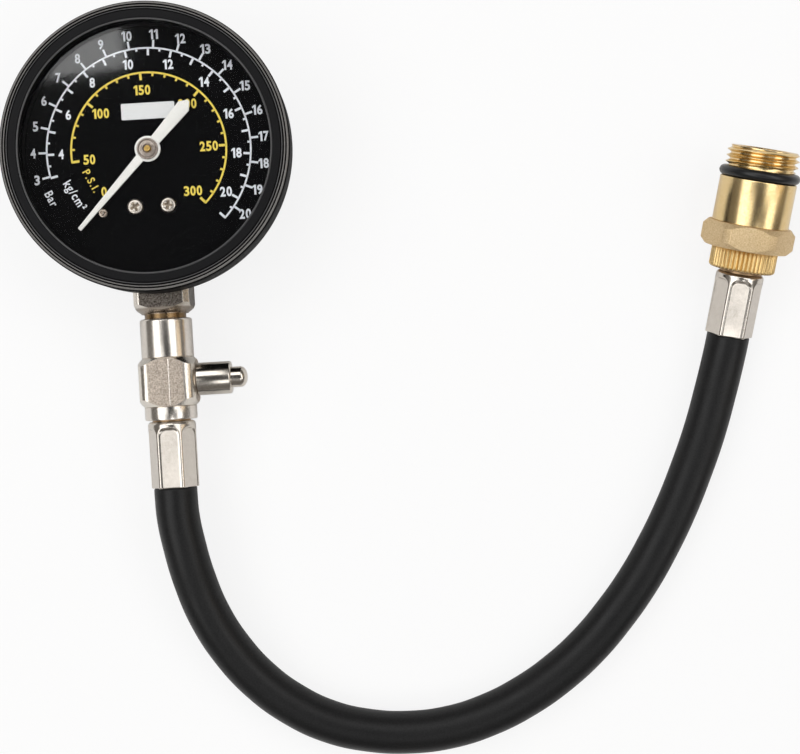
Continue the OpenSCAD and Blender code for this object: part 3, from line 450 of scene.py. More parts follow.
def hexagon():
    deselect()
    bpy.ops.mesh.primitive_cylinder_add(vertices=6, radius=hex_corner * mm, depth=6.2 * mm, location=(0, 0, 3.1 * mm))
    bar = bpy.context.object
    bar.name = "hexagon"
    bpy.ops.object.transform_apply(location=True, rotation=True, scale=True)
    chamfer = spun("chamfer", [(0, 0), (hex_corner - 1.75, 0), (11.55, 1.3), (11.55, 4.9),
                               (hex_corner - 1.75, 6.2), (0, 6.2)], steps=160)
    put(bar, Matrix.Rotation(math.radians(-8), 4, "Z"))
    carve(bar, chamfer, "INTERSECT")
    bevel(bar, 0.14, 3, 20)
    put(bar, on_far(22.4))
    return bar


hex_bar = hexagon()

# %% [markdown]
# The thread is a real helix. One tooth of its profile is screwed upwards, a
# pitch for each turn, and the ends are cut flat. From the cut rims the same
# mesh is extruded further: outwards along the body at one end, and into the
# recess and the bore at the other.

# %% One tooth screwed into a helix
pitch = 1.5
thread_low, thread_high = 1.7, 6.8


def helix():
    tooth = [(8.02, 0), (8.02, 0.16), (8.88, 0.62), (9.0, 0.7), (9.0, 0.8), (8.88, 0.88), (8.02, 1.34), (8.02, 1.5)]
    piece = first_point("adapter_body", tooth[0][0], 0, tooth[0][1])
    for (r0, z0), (r1, z1) in zip(tooth, tooth[1:]):
        next_point(r1 - r0, 0, z1 - z0)
    bpy.ops.object.mode_set(mode="OBJECT")
    step = piece.modifiers.new("screw", "SCREW")
    step.angle = math.tau
    step.screw_offset = pitch * mm
    step.iterations = 5
    step.steps = step.render_steps = 96
    pick(piece)
    bpy.ops.object.modifier_apply(modifier="screw")
    close_up(piece)
    bpy.ops.object.mode_set(mode="EDIT")
    for height, side in ((thread_low, True), (thread_high, False)):
        bpy.ops.mesh.select_all(action="SELECT")
        bpy.ops.mesh.bisect(plane_co=(0, 0, height * mm), plane_no=(0, 0, 1), clear_inner=side, clear_outer=not side,
                            threshold=1e-7)
    bpy.ops.object.mode_set(mode="OBJECT")
    return piece

# %% Extrude a rim through further radii and heights
def walk_rim(piece, height, points):
    pick(piece)
    bpy.ops.object.mode_set(mode="EDIT")
    bpy.ops.mesh.select_all(action="DESELECT")
    bpy.ops.object.mode_set(mode="OBJECT")
    for vertex in piece.data.vertices:
        vertex.select = abs(vertex.co.z - height * mm) < 1e-6
    for edge in piece.data.edges:
        edge.select = all(piece.data.vertices[i].select for i in edge.vertices)
    for radius, level in points:
        bpy.ops.object.mode_set(mode="EDIT")
        bpy.ops.mesh.extrude_region_move()
        bpy.ops.object.mode_set(mode="OBJECT")
        for vertex in piece.data.vertices:
            if vertex.select:
                angle = math.atan2(vertex.co.y, vertex.co.x)
                vertex.co = (radius * math.cos(angle) * mm, radius * math.sin(angle) * mm, level * mm)
    bpy.ops.object.mode_set(mode="EDIT")
    bpy.ops.mesh.edge_face_add()
    bpy.ops.object.mode_set(mode="OBJECT")

# %% Adapter body
def adapter_body():
    piece = helix()
    for vertex in piece.data.vertices:
        radius = math.hypot(vertex.co.x, vertex.co.y) / mm
        level = vertex.co.z / mm
        limit = min(9.0 - max(level - thread_high + 0.8, 0) * 0.9, 8.2 + (level - thread_low) * 1.6)
        share = min(limit / radius, 1)
        vertex.co.x *= share
        vertex.co.y *= share
    base = thread_low - 42.5
    walk_rim(piece, thread_low,
             [(7.46, thread_low), (7.46, base + 39.9), (9.2, base + 39.9), (9.45, base + 39.8), (9.55, base + 39.5),
                                 (9.55, base + 28.7), (9.3, base + 28.5)])
    walk_rim(piece, thread_high,
             [(6.35, thread_high), (6.2, thread_high - 0.15), (6.2, thread_high - 2), (2.66, thread_high - 2),
                                  (2.66, base + 33.2)])
    close_up(piece)
    put(piece, on_far(42.5 - thread_low))
    return piece


adapter = adapter_body()
print("adapter body faces:", len(adapter.data.polygons))

# %% O-ring with the fine flash line of its mould
def o_ring():
    around = [(8.8 + 1.25 * math.cos(a), 1.25 * math.sin(a)) for a in (math.radians(i * 12) for i in range(30))]
    around[0] = (10.09, 0)
    ring = spun("o_ring", around + [around[0]], steps=144)
    put(ring, on_far(41.2))
    return ring


oring = o_ring()

# %% [markdown]
# ## Pointer and its hub
# The pointer is stamped from thin sheet: a long tapering blade, a wider tail
# with a pointed end and a round boss. A turned bush with fine rings is pressed
# into the boss.

# %% Pointer blade and boss
rest_angle = math.radians(226.5)
pointer_z = 24.48


def pointer_blade():
    blade = sheet_of("pointer_blade", [(0, -1.16), (25.6, -0.5), (25.8, -0.42), (25.8, 0.42), (25.6, 0.5), (0, 1.16),
                                       (-13.6, 1.7), (-15.4, 0.3), (-15.4, -0.3), (-13.6, -1.7)], 0.5)
    boss = spun("boss", [(0, 0), (3.15, 0), (3.15, 0.5), (0, 0.5)], steps=96)
    carve(blade, boss, "UNION")
    bevel(blade, 0.07, 2)
    put(blade, Matrix.Translation((0, 0, pointer_z * mm)) @ Matrix.Rotation(rest_angle, 4, "Z"))
    return blade


pointer = pointer_blade()

# %% Hub bush with turned rings
def hub_bush():
    face = [(2.6, 0.5), (2.6, 0.72)] + corner(2.48, 0.73, 0.12, 0, 90, 4) + [(2.3, 0.85), (2.22, 0.58),
                                                                             (2.1, 0.58), (2.0, 0.82),
                                                                          (1.9, 0.86), (1.15, 0.84),
                                                                          (1.02, 0.6), (0.83, 0.56)]
    bush = spun("hub_bush", [(0.83, -0.35), (1.3, -0.35), (1.3, 0.5)] + face + [(0.83, -0.35)], steps=72)
    put(bush, Matrix.Translation((0, 0, pointer_z * mm)))
    return bush


hub = hub_bush()

# %% [markdown]
# ## Dial screws and stop pin
# Two pan-head screws hold the dial. The cross in a head is pressed by a
# tapered punch, so the cutting tool is a cross of two bars that narrow
# downwards. The stop pin is a small turned tube on a wider foot.

# %% Cross recess tool and screw heads
def dial_screw(x, turn):
    head = spun("dial_screw", [(0, -2), (0.95, -2), (0.95, 0), (2.0, 0), (2.05, 0.1), (2.05, 0.42)]
                + corner(1.3, 0.42, 0.68, 20, 90, 6)
                + [(0, 1.12)], steps=64)
    bars = []
    for angle in (0, 90):
        deselect()
        bpy.ops.mesh.primitive_cube_add(size=mm, location=(0, 0, 0.85 * mm), scale=(2.5, 0.78, 1.0),
                                        rotation=(0, 0, math.radians(angle)))
        bar = bpy.context.object
        bpy.ops.object.transform_apply(location=True, rotation=True, scale=True)
        for vertex in bar.data.vertices:
            if vertex.co.z < 0.85 * mm:
                vertex.co.x *= 0.62
                vertex.co.y *= 0.62
        bars.append(bar)
    for bar in bars:
        carve(head, bar)
    bevel(head, 0.05, 2, 35)
    put(head, Matrix.Translation((x * mm, -13.8 * mm, 23.0 * mm)) @ Matrix.Rotation(math.radians(turn), 4, "Z"))
    return head


dial_screws = join("dial_screw_heads", [dial_screw(-4.05, 28), dial_screw(4.05, -12)])

# %% Stop pin
def stop_post():
    post = spun("stop_post",
                [(0, 0), (0.95, 0), (1.1, 0.12), (1.1, 0.42), (0.92, 0.6), (0.66, 0.62), (0.62, 0.7), (0.62, 2.08)]
                + corner(0.52, 2.08, 0.1, 0, 90, 4) + [(0.42, 2.18), (0.34, 2.1), (0.34, 1.5), (0, 1.5)], steps=48)
    put(post, Matrix.Rotation(rest_angle, 4, "Z") @ Matrix.Translation((19.1 * mm, 1.489 * mm, 23.0 * mm)))
    return post


stop_pin = stop_post()

# %% [markdown]
# ## Shared shader effects
# Several finishes need the same effects: a fine grain, faint hand marks, the
# rings of a lathe tool, and a mask that finds flat faces. Each is a node group,
# made once, and every material mixes it in with its own values.

# %% Make an empty node group
def new_group(name, inputs, outputs):
    group = bpy.data.node_groups.new(name, "ShaderNodeTree")
    for label, kind, value in inputs:
        socket = group.interface.new_socket(label, in_out="INPUT", socket_type=kind)
        socket.default_value = value
    for label, kind in outputs:
        group.interface.new_socket(label, in_out="OUTPUT", socket_type=kind)
    return group, group.nodes.new("NodeGroupInput"), group.nodes.new("NodeGroupOutput")


number = "NodeSocketFloat"

# %% Fine grain: small speckle and its height
def grain_group():
    group, given, result = new_group("fine_grain", [("Scale", number, 2000.0), ("Contrast", number, 1.0)],
                                     [("Mask", number), ("Height", number)])
    place = group.nodes.new("ShaderNodeTexCoord")
    noise = group.nodes.new("ShaderNodeTexNoise")
    noise.inputs["Detail"].default_value = 4
    noise.inputs["Roughness"].default_value = 0.62
    spread = group.nodes.new("ShaderNodeMapRange")
    spread.inputs["From Min"].default_value = 0.32
    spread.inputs["From Max"].default_value = 0.68
    power = group.nodes.new("ShaderNodeMath")
    power.operation = "POWER"
    link = group.links.new
    link(place.outputs["Object"], noise.inputs["Vector"])
    link(given.outputs["Scale"], noise.inputs["Scale"])
    link(noise.outputs["Fac"], spread.inputs["Value"])
    link(spread.outputs["Result"], power.inputs[0])
    link(given.outputs["Contrast"], power.inputs[1])
    link(power.outputs["Value"], result.inputs["Mask"])
    link(noise.outputs["Fac"], result.inputs["Height"])
    return group


fine_grain = grain_group()

# %% Hand marks: large soft patches
def marks_group():
    group, given, result = new_group("hand_marks",
                                     [("Scale", number, 90.0), ("Low", number, 0.3), ("High", number, 0.4)],
                                     [("Value", number)])
    place = group.nodes.new("ShaderNodeTexCoord")
    noise = group.nodes.new("ShaderNodeTexNoise")
    noise.inputs["Detail"].default_value = 3
    noise.inputs["Distortion"].default_value = 0.6
    spread = group.nodes.new("ShaderNodeMapRange")
    spread.inputs["From Min"].default_value = 0.35
    spread.inputs["From Max"].default_value = 0.65
    link = group.links.new
    link(place.outputs["Object"], noise.inputs["Vector"])
    link(given.outputs["Scale"], noise.inputs["Scale"])
    link(noise.outputs["Fac"], spread.inputs["Value"])
    link(given.outputs["Low"], spread.inputs["To Min"])
    link(given.outputs["High"], spread.inputs["To Max"])
    link(spread.outputs["Result"], result.inputs["Value"])
    return group


hand_marks = marks_group()

# %% Turning lines: rings that a lathe tool leaves, along one axis
def lathe_group():
    group, given, result = new_group("lathe_lines",
                                     [("Axis", "NodeSocketVector", (0, 1, 0)), ("Scale", number, 3000.0)],
                                     [("Height", number)])
    place = group.nodes.new("ShaderNodeTexCoord")
    along = group.nodes.new("ShaderNodeVectorMath")
    along.operation = "DOT_PRODUCT"
    noise = group.nodes.new("ShaderNodeTexNoise")
    noise.noise_dimensions = "1D"
    noise.inputs["Detail"].default_value = 3
    link = group.links.new
    link(place.outputs["Object"], along.inputs[0])
    link(given.outputs["Axis"], along.inputs[1])
    link(along.outputs["Value"], noise.inputs["W"])
    link(given.outputs["Scale"], noise.inputs["Scale"])
    link(noise.outputs["Fac"], result.inputs["Height"])
    return group


lathe_lines = lathe_group()

# %% [markdown]
# ## Materials
# Every finish starts from the Principled shader. Its colour gets a slight
# change from the grain, its roughness from the hand marks, and a Bump node
# turns the grain's height, or the lathe's rings, into relief.

# %% A finish with grain, marks and relief
def finish(name, colour, second, rough, metallic=0.0, grain=2000.0, contrast=1.0, relief=0.2, depth=0.02,
           marks=90.0, specular=0.5, lines=None):
    material = bpy.data.materials.new(name)
    material.use_nodes = True
    tree = material.node_tree
    shader = tree.nodes["Principled BSDF"]
    speckle = tree.nodes.new("ShaderNodeGroup")
    speckle.name = "speckle"
    speckle.node_tree = fine_grain
    speckle.inputs["Scale"].default_value = grain
    speckle.inputs["Contrast"].default_value = contrast
    mix = tree.nodes.new("ShaderNodeMix")
    mix.name = "colours"
    mix.data_type = "RGBA"
    mix.inputs[6].default_value = (*colour, 1)
    mix.inputs[7].default_value = (*second, 1)
    tree.links.new(speckle.outputs["Mask"], mix.inputs[0])
    tree.links.new(mix.outputs[2], shader.inputs["Base Color"])
    patches = tree.nodes.new("ShaderNodeGroup")
    patches.name = "patches"
    patches.node_tree = hand_marks
    patches.inputs["Scale"].default_value = marks
    patches.inputs["Low"].default_value, patches.inputs["High"].default_value = rough
    tree.links.new(patches.outputs["Value"], shader.inputs["Roughness"])
    bump = tree.nodes.new("ShaderNodeBump")
    bump.inputs["Strength"].default_value = relief
    bump.inputs["Distance"].default_value = depth * mm
    source = speckle
    if lines:
        source = tree.nodes.new("ShaderNodeGroup")
        source.node_tree = lathe_lines
        source.inputs["Axis"].default_value = lines[0]
        source.inputs["Scale"].default_value = lines[1]
    tree.links.new(source.outputs["Height"], bump.inputs["Height"])
    tree.links.new(bump.outputs["Normal"], shader.inputs["Normal"])
    shader.inputs["Metallic"].default_value = metallic
    shader.inputs["Specular IOR Level"].default_value = specular
    return material

# %% Enamel, rubber and print
black_enamel = finish("black_enamel", (0.004, 0.004, 0.0043), (0.007, 0.007, 0.0075), (0.42, 0.5), grain=4000,
                      relief=0.2, depth=0.01, specular=0.02)
satin_enamel = finish("satin_enamel", (0.008, 0.008, 0.009), (0.013, 0.013, 0.014), (0.42, 0.52), grain=4000,
                      relief=0.4, depth=0.02, specular=0.08)
# Painted highlights: these two lighter enamel greys paint the thin light lines that the bezel's ridges and lip catch
# from the lamps, the first brighter, the second fainter.
painted_edge_highlight = finish("painted_edge_highlight", (0.15, 0.145, 0.14), (0.23, 0.22, 0.21), (0.3, 0.4), grain=3000, relief=0.2,
                     depth=0.01)
painted_faint_highlight = finish("painted_faint_highlight", (0.05, 0.05, 0.052), (0.09, 0.09, 0.092), (0.3, 0.4), grain=3000, relief=0.2,
                   depth=0.01)
case_enamel = finish("case_enamel", (0.006, 0.006, 0.0065), (0.011, 0.011, 0.012), (0.38, 0.48), grain=1800,
                     relief=0.3, specular=0.06)
dial_lacquer = finish("dial_lacquer", (0.001, 0.001, 0.0013), (0.0025, 0.0025, 0.003), (0.55, 0.65), grain=3000,
                      relief=0.1, specular=0.0)
seal_rubber = finish("seal_rubber", (0.007, 0.007, 0.0075), (0.014, 0.014, 0.015), (0.26, 0.34), grain=3000,
                     specular=0.4)
hose_rubber = finish("hose_rubber", (0.006, 0.006, 0.0063), (0.014, 0.014, 0.0145), (0.36, 0.46), grain=2600,
                     relief=0.4, depth=0.03, marks=60, specular=0.24)
needle_paint = finish("needle_paint", (0.82, 0.8, 0.76), (0.86, 0.84, 0.8), (0.35, 0.45), grain=1500, relief=0.1)
white_ink = finish("white_ink", (0.76, 0.78, 0.83), (0.82, 0.84, 0.88), (0.4, 0.5), grain=3000, relief=0.1)
plate_ink = finish("plate_ink", (0.7, 0.7, 0.7), (0.77, 0.77, 0.77), (0.35, 0.45), grain=2200, relief=0.1)
yellow_ink = finish("yellow_ink", (0.83, 0.62, 0.06), (0.88, 0.68, 0.09), (0.4, 0.5), grain=3000, relief=0.1)

# %% Plating, brass and steel
far_axis = tuple(far_way)
nickel_plate = finish("nickel_plate", (0.62, 0.57, 0.51), (0.68, 0.63, 0.57), (0.16, 0.24), 1.0, grain=900,
                      relief=0.2, depth=0.008)
nickel_stem = finish("nickel_stem", (0.68, 0.63, 0.57), (0.77, 0.72, 0.66), (0.19, 0.26), 1.0, relief=0.25,
                     depth=0.006, lines=((0, 1, 0), 4000))
nickel_side = finish("nickel_side", (0.6, 0.55, 0.49), (0.7, 0.65, 0.58), (0.14, 0.2), 1.0, relief=0.1,
                     depth=0.006, lines=((1, 0, 0), 4000))
hub_nickel = finish("hub_nickel", (0.2, 0.16, 0.135), (0.5, 0.43, 0.38), (0.26, 0.36), 1.0, grain=4200,
                    relief=0.6, depth=0.03)
arbor_brass = finish("arbor_brass", (0.36, 0.22, 0.06), (0.66, 0.44, 0.14), (0.3, 0.4), 1.0, grain=3500)
screw_plate = finish("screw_plate", (0.6, 0.53, 0.46), (0.72, 0.66, 0.59), (0.22, 0.3), 1.0, grain=2500)
# Painted shade: a darker plating colour for the inside of the screws' cross recesses, where shade falls.
painted_recess_shade = finish("painted_recess_shade", (0.2, 0.16, 0.12), (0.34, 0.28, 0.22), (0.4, 0.5), 1.0, grain=3000)
brass_plain = finish("brass_plain", (0.72, 0.5, 0.22), (0.8, 0.6, 0.3), (0.24, 0.36), 1.0, grain=1500)
# Painted shade: a dark brown brass that stands in for the shade falling on the narrow necks between collars and
# ferrules.
painted_shade_brass = finish("painted_shade_brass", (0.3, 0.19, 0.1), (0.45, 0.3, 0.17), (0.35, 0.45), 1.0, grain=2500)
copper_pin = finish("copper_pin", (0.62, 0.5, 0.41), (0.8, 0.7, 0.61), (0.25, 0.35), 1.0, grain=3000)
brass_turned = finish("brass_turned", (0.76, 0.55, 0.25), (0.84, 0.65, 0.36), (0.19, 0.26), 1.0, relief=0.35,
                      depth=0.01, lines=(far_axis, 3500))
brass_sand = finish("brass_sand", (0.62, 0.44, 0.22), (0.9, 0.72, 0.46), (0.48, 0.6), 1.0, grain=3600,
                    relief=0.9, depth=0.04)
brass_knurl = finish("brass_knurl", (0.74, 0.5, 0.2), (0.84, 0.62, 0.3), (0.3, 0.4), 1.0, grain=2500,
                     relief=0.4, depth=0.01)
steel_plate = finish("steel_plate", (0.62, 0.59, 0.54), (0.7, 0.67, 0.62), (0.2, 0.3), 1.0, grain=1200)
hair_bronze = finish("hair_bronze", (0.62, 0.46, 0.26), (0.7, 0.52, 0.3), (0.25, 0.35), 1.0)

# %% [markdown]
# Forged skin is grainy and dull on the flat faces and polished on the round
# corners, where plating wears first. A mask from the face direction tells the
# two apart: it is one where the surface looks straight along an axis.

# %% A mask of the flat faces
def flats_group():
    group, given, result = new_group("flat_faces", [("Edge", number, 0.985)], [("Mask", number)])
    place = group.nodes.new("ShaderNodeTexCoord")
    square = group.nodes.new("ShaderNodeVectorMath")
    square.operation = "ABSOLUTE"
    split = group.nodes.new("ShaderNodeSeparateXYZ")
    larger = group.nodes.new("ShaderNodeMath")
    larger.operation = "MAXIMUM"
    ramp = group.nodes.new("ShaderNodeMapRange")
    ramp.inputs["From Max"].default_value = 0.998
    link = group.links.new
    link(place.outputs["Normal"], square.inputs[0])
    link(square.outputs["Vector"], split.inputs["Vector"])
    link(split.outputs["X"], larger.inputs[0])
    link(split.outputs["Z"], larger.inputs[1])
    link(larger.outputs["Value"], ramp.inputs["Value"])
    link(given.outputs["Edge"], ramp.inputs["From Min"])
    link(ramp.outputs["Result"], result.inputs["Mask"])
    return group


flat_faces = flats_group()

# %% Forged finish: grainy flats and bright corners
def forged_finish(name, dark, light, grain, rough, depth):
    material = finish(name, dark, light, (0.14, 0.22), 1.0, grain=grain, contrast=1.1, relief=0.8, depth=depth)
    tree = material.node_tree
    shader = tree.nodes["Principled BSDF"]
    flats = tree.nodes.new("ShaderNodeGroup")
    flats.node_tree = flat_faces
    tint = tree.nodes.new("ShaderNodeMix")
    tint.data_type = "RGBA"
    tint.inputs[6].default_value = (0.74, 0.69, 0.62, 1)
    tree.links.new(flats.outputs["Mask"], tint.inputs[0])
    tree.links.new(tree.nodes["colours"].outputs[2], tint.inputs[7])
    tree.links.new(tint.outputs[2], shader.inputs["Base Color"])
    dull = tree.nodes.new("ShaderNodeMix")
    dull.inputs[3].default_value = rough
    tree.links.new(flats.outputs["Mask"], dull.inputs[0])
    tree.links.new(tree.nodes["patches"].outputs["Value"], dull.inputs[2])
    tree.links.new(dull.outputs[0], shader.inputs["Roughness"])
    return material


forged_skin = forged_finish("forged_skin", (0.27, 0.225, 0.185), (0.72, 0.63, 0.54), 3400, 0.5, 0.04)
shank_skin = forged_finish("shank_skin", (0.035, 0.028, 0.024), (0.34, 0.3, 0.26), 3000, 0.36, 0.06)

# %% Painted shade: the shank's cone is painted darker, and the brass neck below it dark brown
def zone(material, past, colour):
    """A painted shade colour where the surface lies beyond a distance down the stem."""
    tree = material.node_tree
    shader = tree.nodes["Principled BSDF"]
    before = shader.inputs["Base Color"].links[0].from_socket
    spot = tree.nodes.new("ShaderNodeTexCoord")
    axes = tree.nodes.new("ShaderNodeSeparateXYZ")
    beyond = tree.nodes.new("ShaderNodeMapRange")
    beyond.inputs["From Min"].default_value = -(past - 0.2) * mm
    beyond.inputs["From Max"].default_value = -(past + 0.2) * mm
    change = tree.nodes.new("ShaderNodeMix")
    change.data_type = "RGBA"
    change.inputs[7].default_value = (*colour, 1)
    tree.links.new(spot.outputs["Object"], axes.inputs["Vector"])
    tree.links.new(axes.outputs["Y"], beyond.inputs["Value"])
    tree.links.new(beyond.outputs["Result"], change.inputs[0])
    tree.links.new(before, change.inputs[6])
    tree.links.new(change.outputs[2], shader.inputs["Base Color"])


# Painted shade: beyond 38.3 mm the cone loses its bright corners, and beyond 39.8 mm the brass neck turns dark brown.
zone(shank_skin, 38.3, (0.34, 0.29, 0.24))
zone(shank_skin, 39.8, (0.2, 0.13, 0.065))

# %% Clear window plastic
window_clear = bpy.data.materials.new("window_clear")
window_clear.use_nodes = True
window_shader = window_clear.node_tree.nodes["Principled BSDF"]
window_shader.inputs["Base Color"].default_value = (0.97, 0.98, 0.98, 1)
window_shader.inputs["Roughness"].default_value = 0.04
window_shader.inputs["IOR"].default_value = 1.45
window_shader.inputs["Specular IOR Level"].default_value = 0.12
window_shader.inputs["Transmission Weight"].default_value = 1
nodes["window"].visible_shadow = False

# %% Give each CAD solid its finish
def dress(material, *names):
    for name in names:
        mesh = nodes[name].data
        mesh.materials.clear()
        mesh.materials.append(material)
        smooth(nodes[name], 35)


dress(case_enamel, "gauge_case")
dress(black_enamel, "bezel_ring")
dress(window_clear, "window")
dress(dial_lacquer, "dial_plate")
dress(seal_rubber, "window_gasket", "release_seal", "core_seal", "adapter_oring")
dress(hose_rubber, "hose")
dress(needle_paint, "pointer")
dress(nickel_stem, "valve_body")
dress(nickel_plate, "release_barrel", "release_button", "near_ferrule", "far_ferrule", "pointer_hub")
dress(shank_skin, "pressure_socket")
dress(brass_turned, "end_fitting", "core_barrel", "core_pin", "adapter")
# The near nipple, in the gap between collar and ferrule, gets the painted shade brass.
dress(painted_shade_brass, "near_nipple")
dress(arbor_brass, "pinion_arbor")
dress(brass_plain, "stop_pin", "sector_gear", "link_pins", "hairspring_stud", "back_plate",
      "front_plate", "plate_pillars", "pressure_tube", "tube_tip_block", "dial_posts")
dress(steel_plate, "dial_screws", "case_screws", "movement_screws", "link", "sector_shaft", "release_spring",
      "core_spring")
dress(hair_bronze, "hairspring")

# %% Give each new piece its finish, its body and the node it stands for
def place(piece, material, body, slot, *stands_for, angle=35):
    piece.data.materials.clear()
    piece.data.materials.append(material)
    smooth(piece, angle)
    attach(piece, body)
    if stands_for:
        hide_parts(*stands_for)


hose.data.materials.append(hose_rubber)
smooth(hose, 40)
place(bezel, black_enamel, "root", "black_bezel", "bezel_ring", angle=40)
# The outer rim and the first ridge get the bright painted highlight, the second ridge and the lip the faint painted
# highlight, and the flat band satin enamel.
for finer in (satin_enamel, painted_edge_highlight, painted_faint_highlight):
    bezel.data.materials.append(finer)
for face in bezel.data.polygons:
    middle = sum((bezel.data.vertices[i].co for i in face.vertices), Vector()) / len(face.vertices)
    r = math.hypot(middle.x, middle.y) / mm
    if middle.z > 30.2 * mm:
        face.material_index = (2 if 34.36 < r < 34.75 or 33.67 < r < 33.97
                               else 3 if 33.04 < r < 33.32 or r < 30.87
                               else 1 if r < 32.83 else 0)
place(valve_block, forged_skin, "root", "nickel", "valve_body", angle=12)
valve_block.name = "valve_block"
for piece, label_name in ((valve_seam, "valve_parting_line"), (valve_upper, "valve_upper"),
                          (valve_lower, "valve_collar")):
    piece.name = label_name
    place(piece, nickel_stem, "root", "nickel")
place(barrel, nickel_side, "root", "nickel", "release_barrel")
place(button, nickel_side, "button_body", "nickel", "release_button")
place(near_ferrule, nickel_plate, "root", "nickel", "near_ferrule", angle=50)
place(far_ferrule, nickel_plate, "root", "nickel", "far_ferrule", angle=50)
place(fitting, brass_knurl, "root", "brass", "end_fitting")
# Painted shade: the fitting's neck between ferrule and knurl gets the dark painted shade brass.
fitting.data.materials.append(painted_shade_brass)
for face in fitting.data.polygons:
    along = (fitting.data.vertices[face.vertices[0]].co / mm - far_point).dot(far_way)
    face.material_index = 1 if 14.8 < along < 17.1 else 0
place(hex_bar, brass_sand, "root", "brass", "adapter", angle=25)
place(adapter, brass_turned, "root", "brass", angle=40)
place(oring, seal_rubber, "root", "black_rubber", "adapter_oring", angle=60)
place(pointer, needle_paint, "pointer_body", "pointer_white", "pointer")
place(hub, hub_nickel, "pointer_body", "nickel", "pointer_hub")
place(dial_screws, screw_plate, "root", "steel", "dial_screws")
# Faces inside each cross recess get the painted shade.
dial_screws.data.materials.append(painted_recess_shade)
for face in dial_screws.data.polygons:
    middle = sum((dial_screws.data.vertices[i].co for i in face.vertices), Vector()) / len(face.vertices)
    if 23.3 * mm < middle.z < 23.85 * mm and math.hypot(abs(middle.x) - 4.05 * mm, middle.y + 13.8 * mm) < 1.35 * mm:
        face.material_index = 1
place(stop_pin, copper_pin, "root", "brass", "stop_pin")

# %% [markdown]
# ## The print on the dial
# The dial carries three scales. Bars are outside the white arc, kg/cm2 inside
# it, and psi on a yellow arc of its own. All three share one zero and one
# angle per unit of pressure, so every mark is placed from its pressure.

# %% Where a pressure lies on the dial
dial_top = 23.0
ink_t = 0.03
psi_per_bar = 14.504
psi_per_kg = 14.223


def psi_angle(psi):
    return 232.3 - 0.928 * psi


print("dial runs from", psi_angle(0), "to", psi_angle(300), "degrees")

# %% Arcs, ticks and numbers as thin ink
def arc_line(name, radius, width, start, end):
    """A short edge across the line, spun along the arc."""
    low, high = sorted((math.radians(start), math.radians(end)))
    line = spun(name, [(radius - width / 2, 0), (radius + width / 2, 0)], steps=160, turn=low - high)
    put(line, Matrix.Rotation(low, 4, "Z"))
    return line


def tick(inner, outer, width, angle):
    """A thin quad along +X, turned to its angle."""
    deselect()
    bpy.ops.mesh.primitive_plane_add(size=mm)
    mark = bpy.context.object
    put(mark, Matrix.Rotation(math.radians(angle), 4, "Z")
        @ Matrix.Translation(((inner + outer) / 2 * mm, 0, 0))
        @ Matrix.Diagonal((outer - inner, width, 1, 1)))
    return mark


def label(words, x, y, size, turn=0.0, bold=0.055, narrow=0.8, gap=1.06):
    deselect()
    bpy.ops.object.text_add()
    text = bpy.context.object
    text.data.body = words
    text.data.size = size * mm
    text.data.align_x = "CENTER"
    text.data.align_y = "CENTER"
    text.data.offset = bold * mm
    text.data.space_character = gap
    text.data.resolution_u = 5
    bpy.ops.object.convert(target="MESH")
    mesh = bpy.context.object
    put(mesh, Matrix.Translation((x * mm, y * mm, 0)) @ Matrix.Rotation(math.radians(turn), 4, "Z")
        @ Matrix.Diagonal((narrow, 1, 1, 1)))
    return mesh


def polar(radius, angle):
    return radius * math.cos(math.radians(angle)), radius * math.sin(math.radians(angle))

# %% Numbers: condensed bold figures, one glyph at a time
figure_h, figure_w, figure_gap = 2.42, 1.32, 0.24


def figure(char):
    """One figure, scaled to its cell; a 1 gets the flag that the font leaves out."""
    mesh = label(char, 0, 0, 3.2, bold=0.1, narrow=1)
    xs = [v.co.x / mm for v in mesh.data.vertices]
    ys = [v.co.y / mm for v in mesh.data.vertices]
    wide = 0.5 if char == "1" else figure_w
    put(mesh, Matrix.Diagonal((wide / (max(xs) - min(xs)), figure_h / (max(ys) - min(ys)), 1, 1))
        @ Matrix.Translation((-min(xs) * mm, -min(ys) * mm, 0)))
    if char != "1":
        return mesh, wide
    put(mesh, Matrix.Translation((0.45 * mm, 0, 0)))
    flag = first_point("flag", 0.5, figure_h, 0)
    next_point(-0.5, -0.42, 0)
    next_point(0, -0.4, 0)
    next_point(0.5, 0.3, 0)
    bpy.ops.mesh.select_all(action="SELECT")
    bpy.ops.mesh.edge_face_add()
    bpy.ops.object.mode_set(mode="OBJECT")
    return join("figure", [mesh, flag]), 0.95


def figures(number_value, x, y):
    parts, width = [], -figure_gap
    for char in str(number_value):
        mesh, wide = figure(char)
        put(mesh, Matrix.Translation(((width + figure_gap) * mm, 0, 0)))
        width += figure_gap + wide
        parts.append(mesh)
    whole = join("figures", parts)
    put(whole, Matrix.Translation(((x - width / 2) * mm, (y - figure_h / 2) * mm, 0)))
    return whole

# %% White scales: bar and kg/cm2
def white_scales():
    parts = [arc_line("white_arc", 25.0, 0.42, psi_angle(3 * psi_per_bar) + 0.5, psi_angle(21 * psi_per_kg) - 0.5)]
    for bar in range(3, 21):
        angle = psi_angle(bar * psi_per_bar)
        parts.append(tick(25.0, 27.0, 0.52, angle))
        parts.append(figures(bar, *polar(28.35, angle)))
    for half in range(6, 43):
        angle = psi_angle(half / 2 * psi_per_kg)
        whole = half % 2 == 0
        parts.append(tick(23.2 if whole else 24.25, 25.0, 0.56 if whole else 0.5, angle))
    for kg in range(4, 21, 2):
        parts.append(figures(kg, *polar(21.5, psi_angle(kg * psi_per_kg))))
    parts.append(label("Bar", *polar(26.8, 203.2), 3.0, turn=-65, bold=0.04, narrow=0.84, gap=1.16))
    parts.append(label("kg/cm²", *polar(21.3, 208.3), 3.1, turn=-61, bold=0.04, narrow=0.84, gap=1.16))
    return join("white_print", parts)


white_print = white_scales()

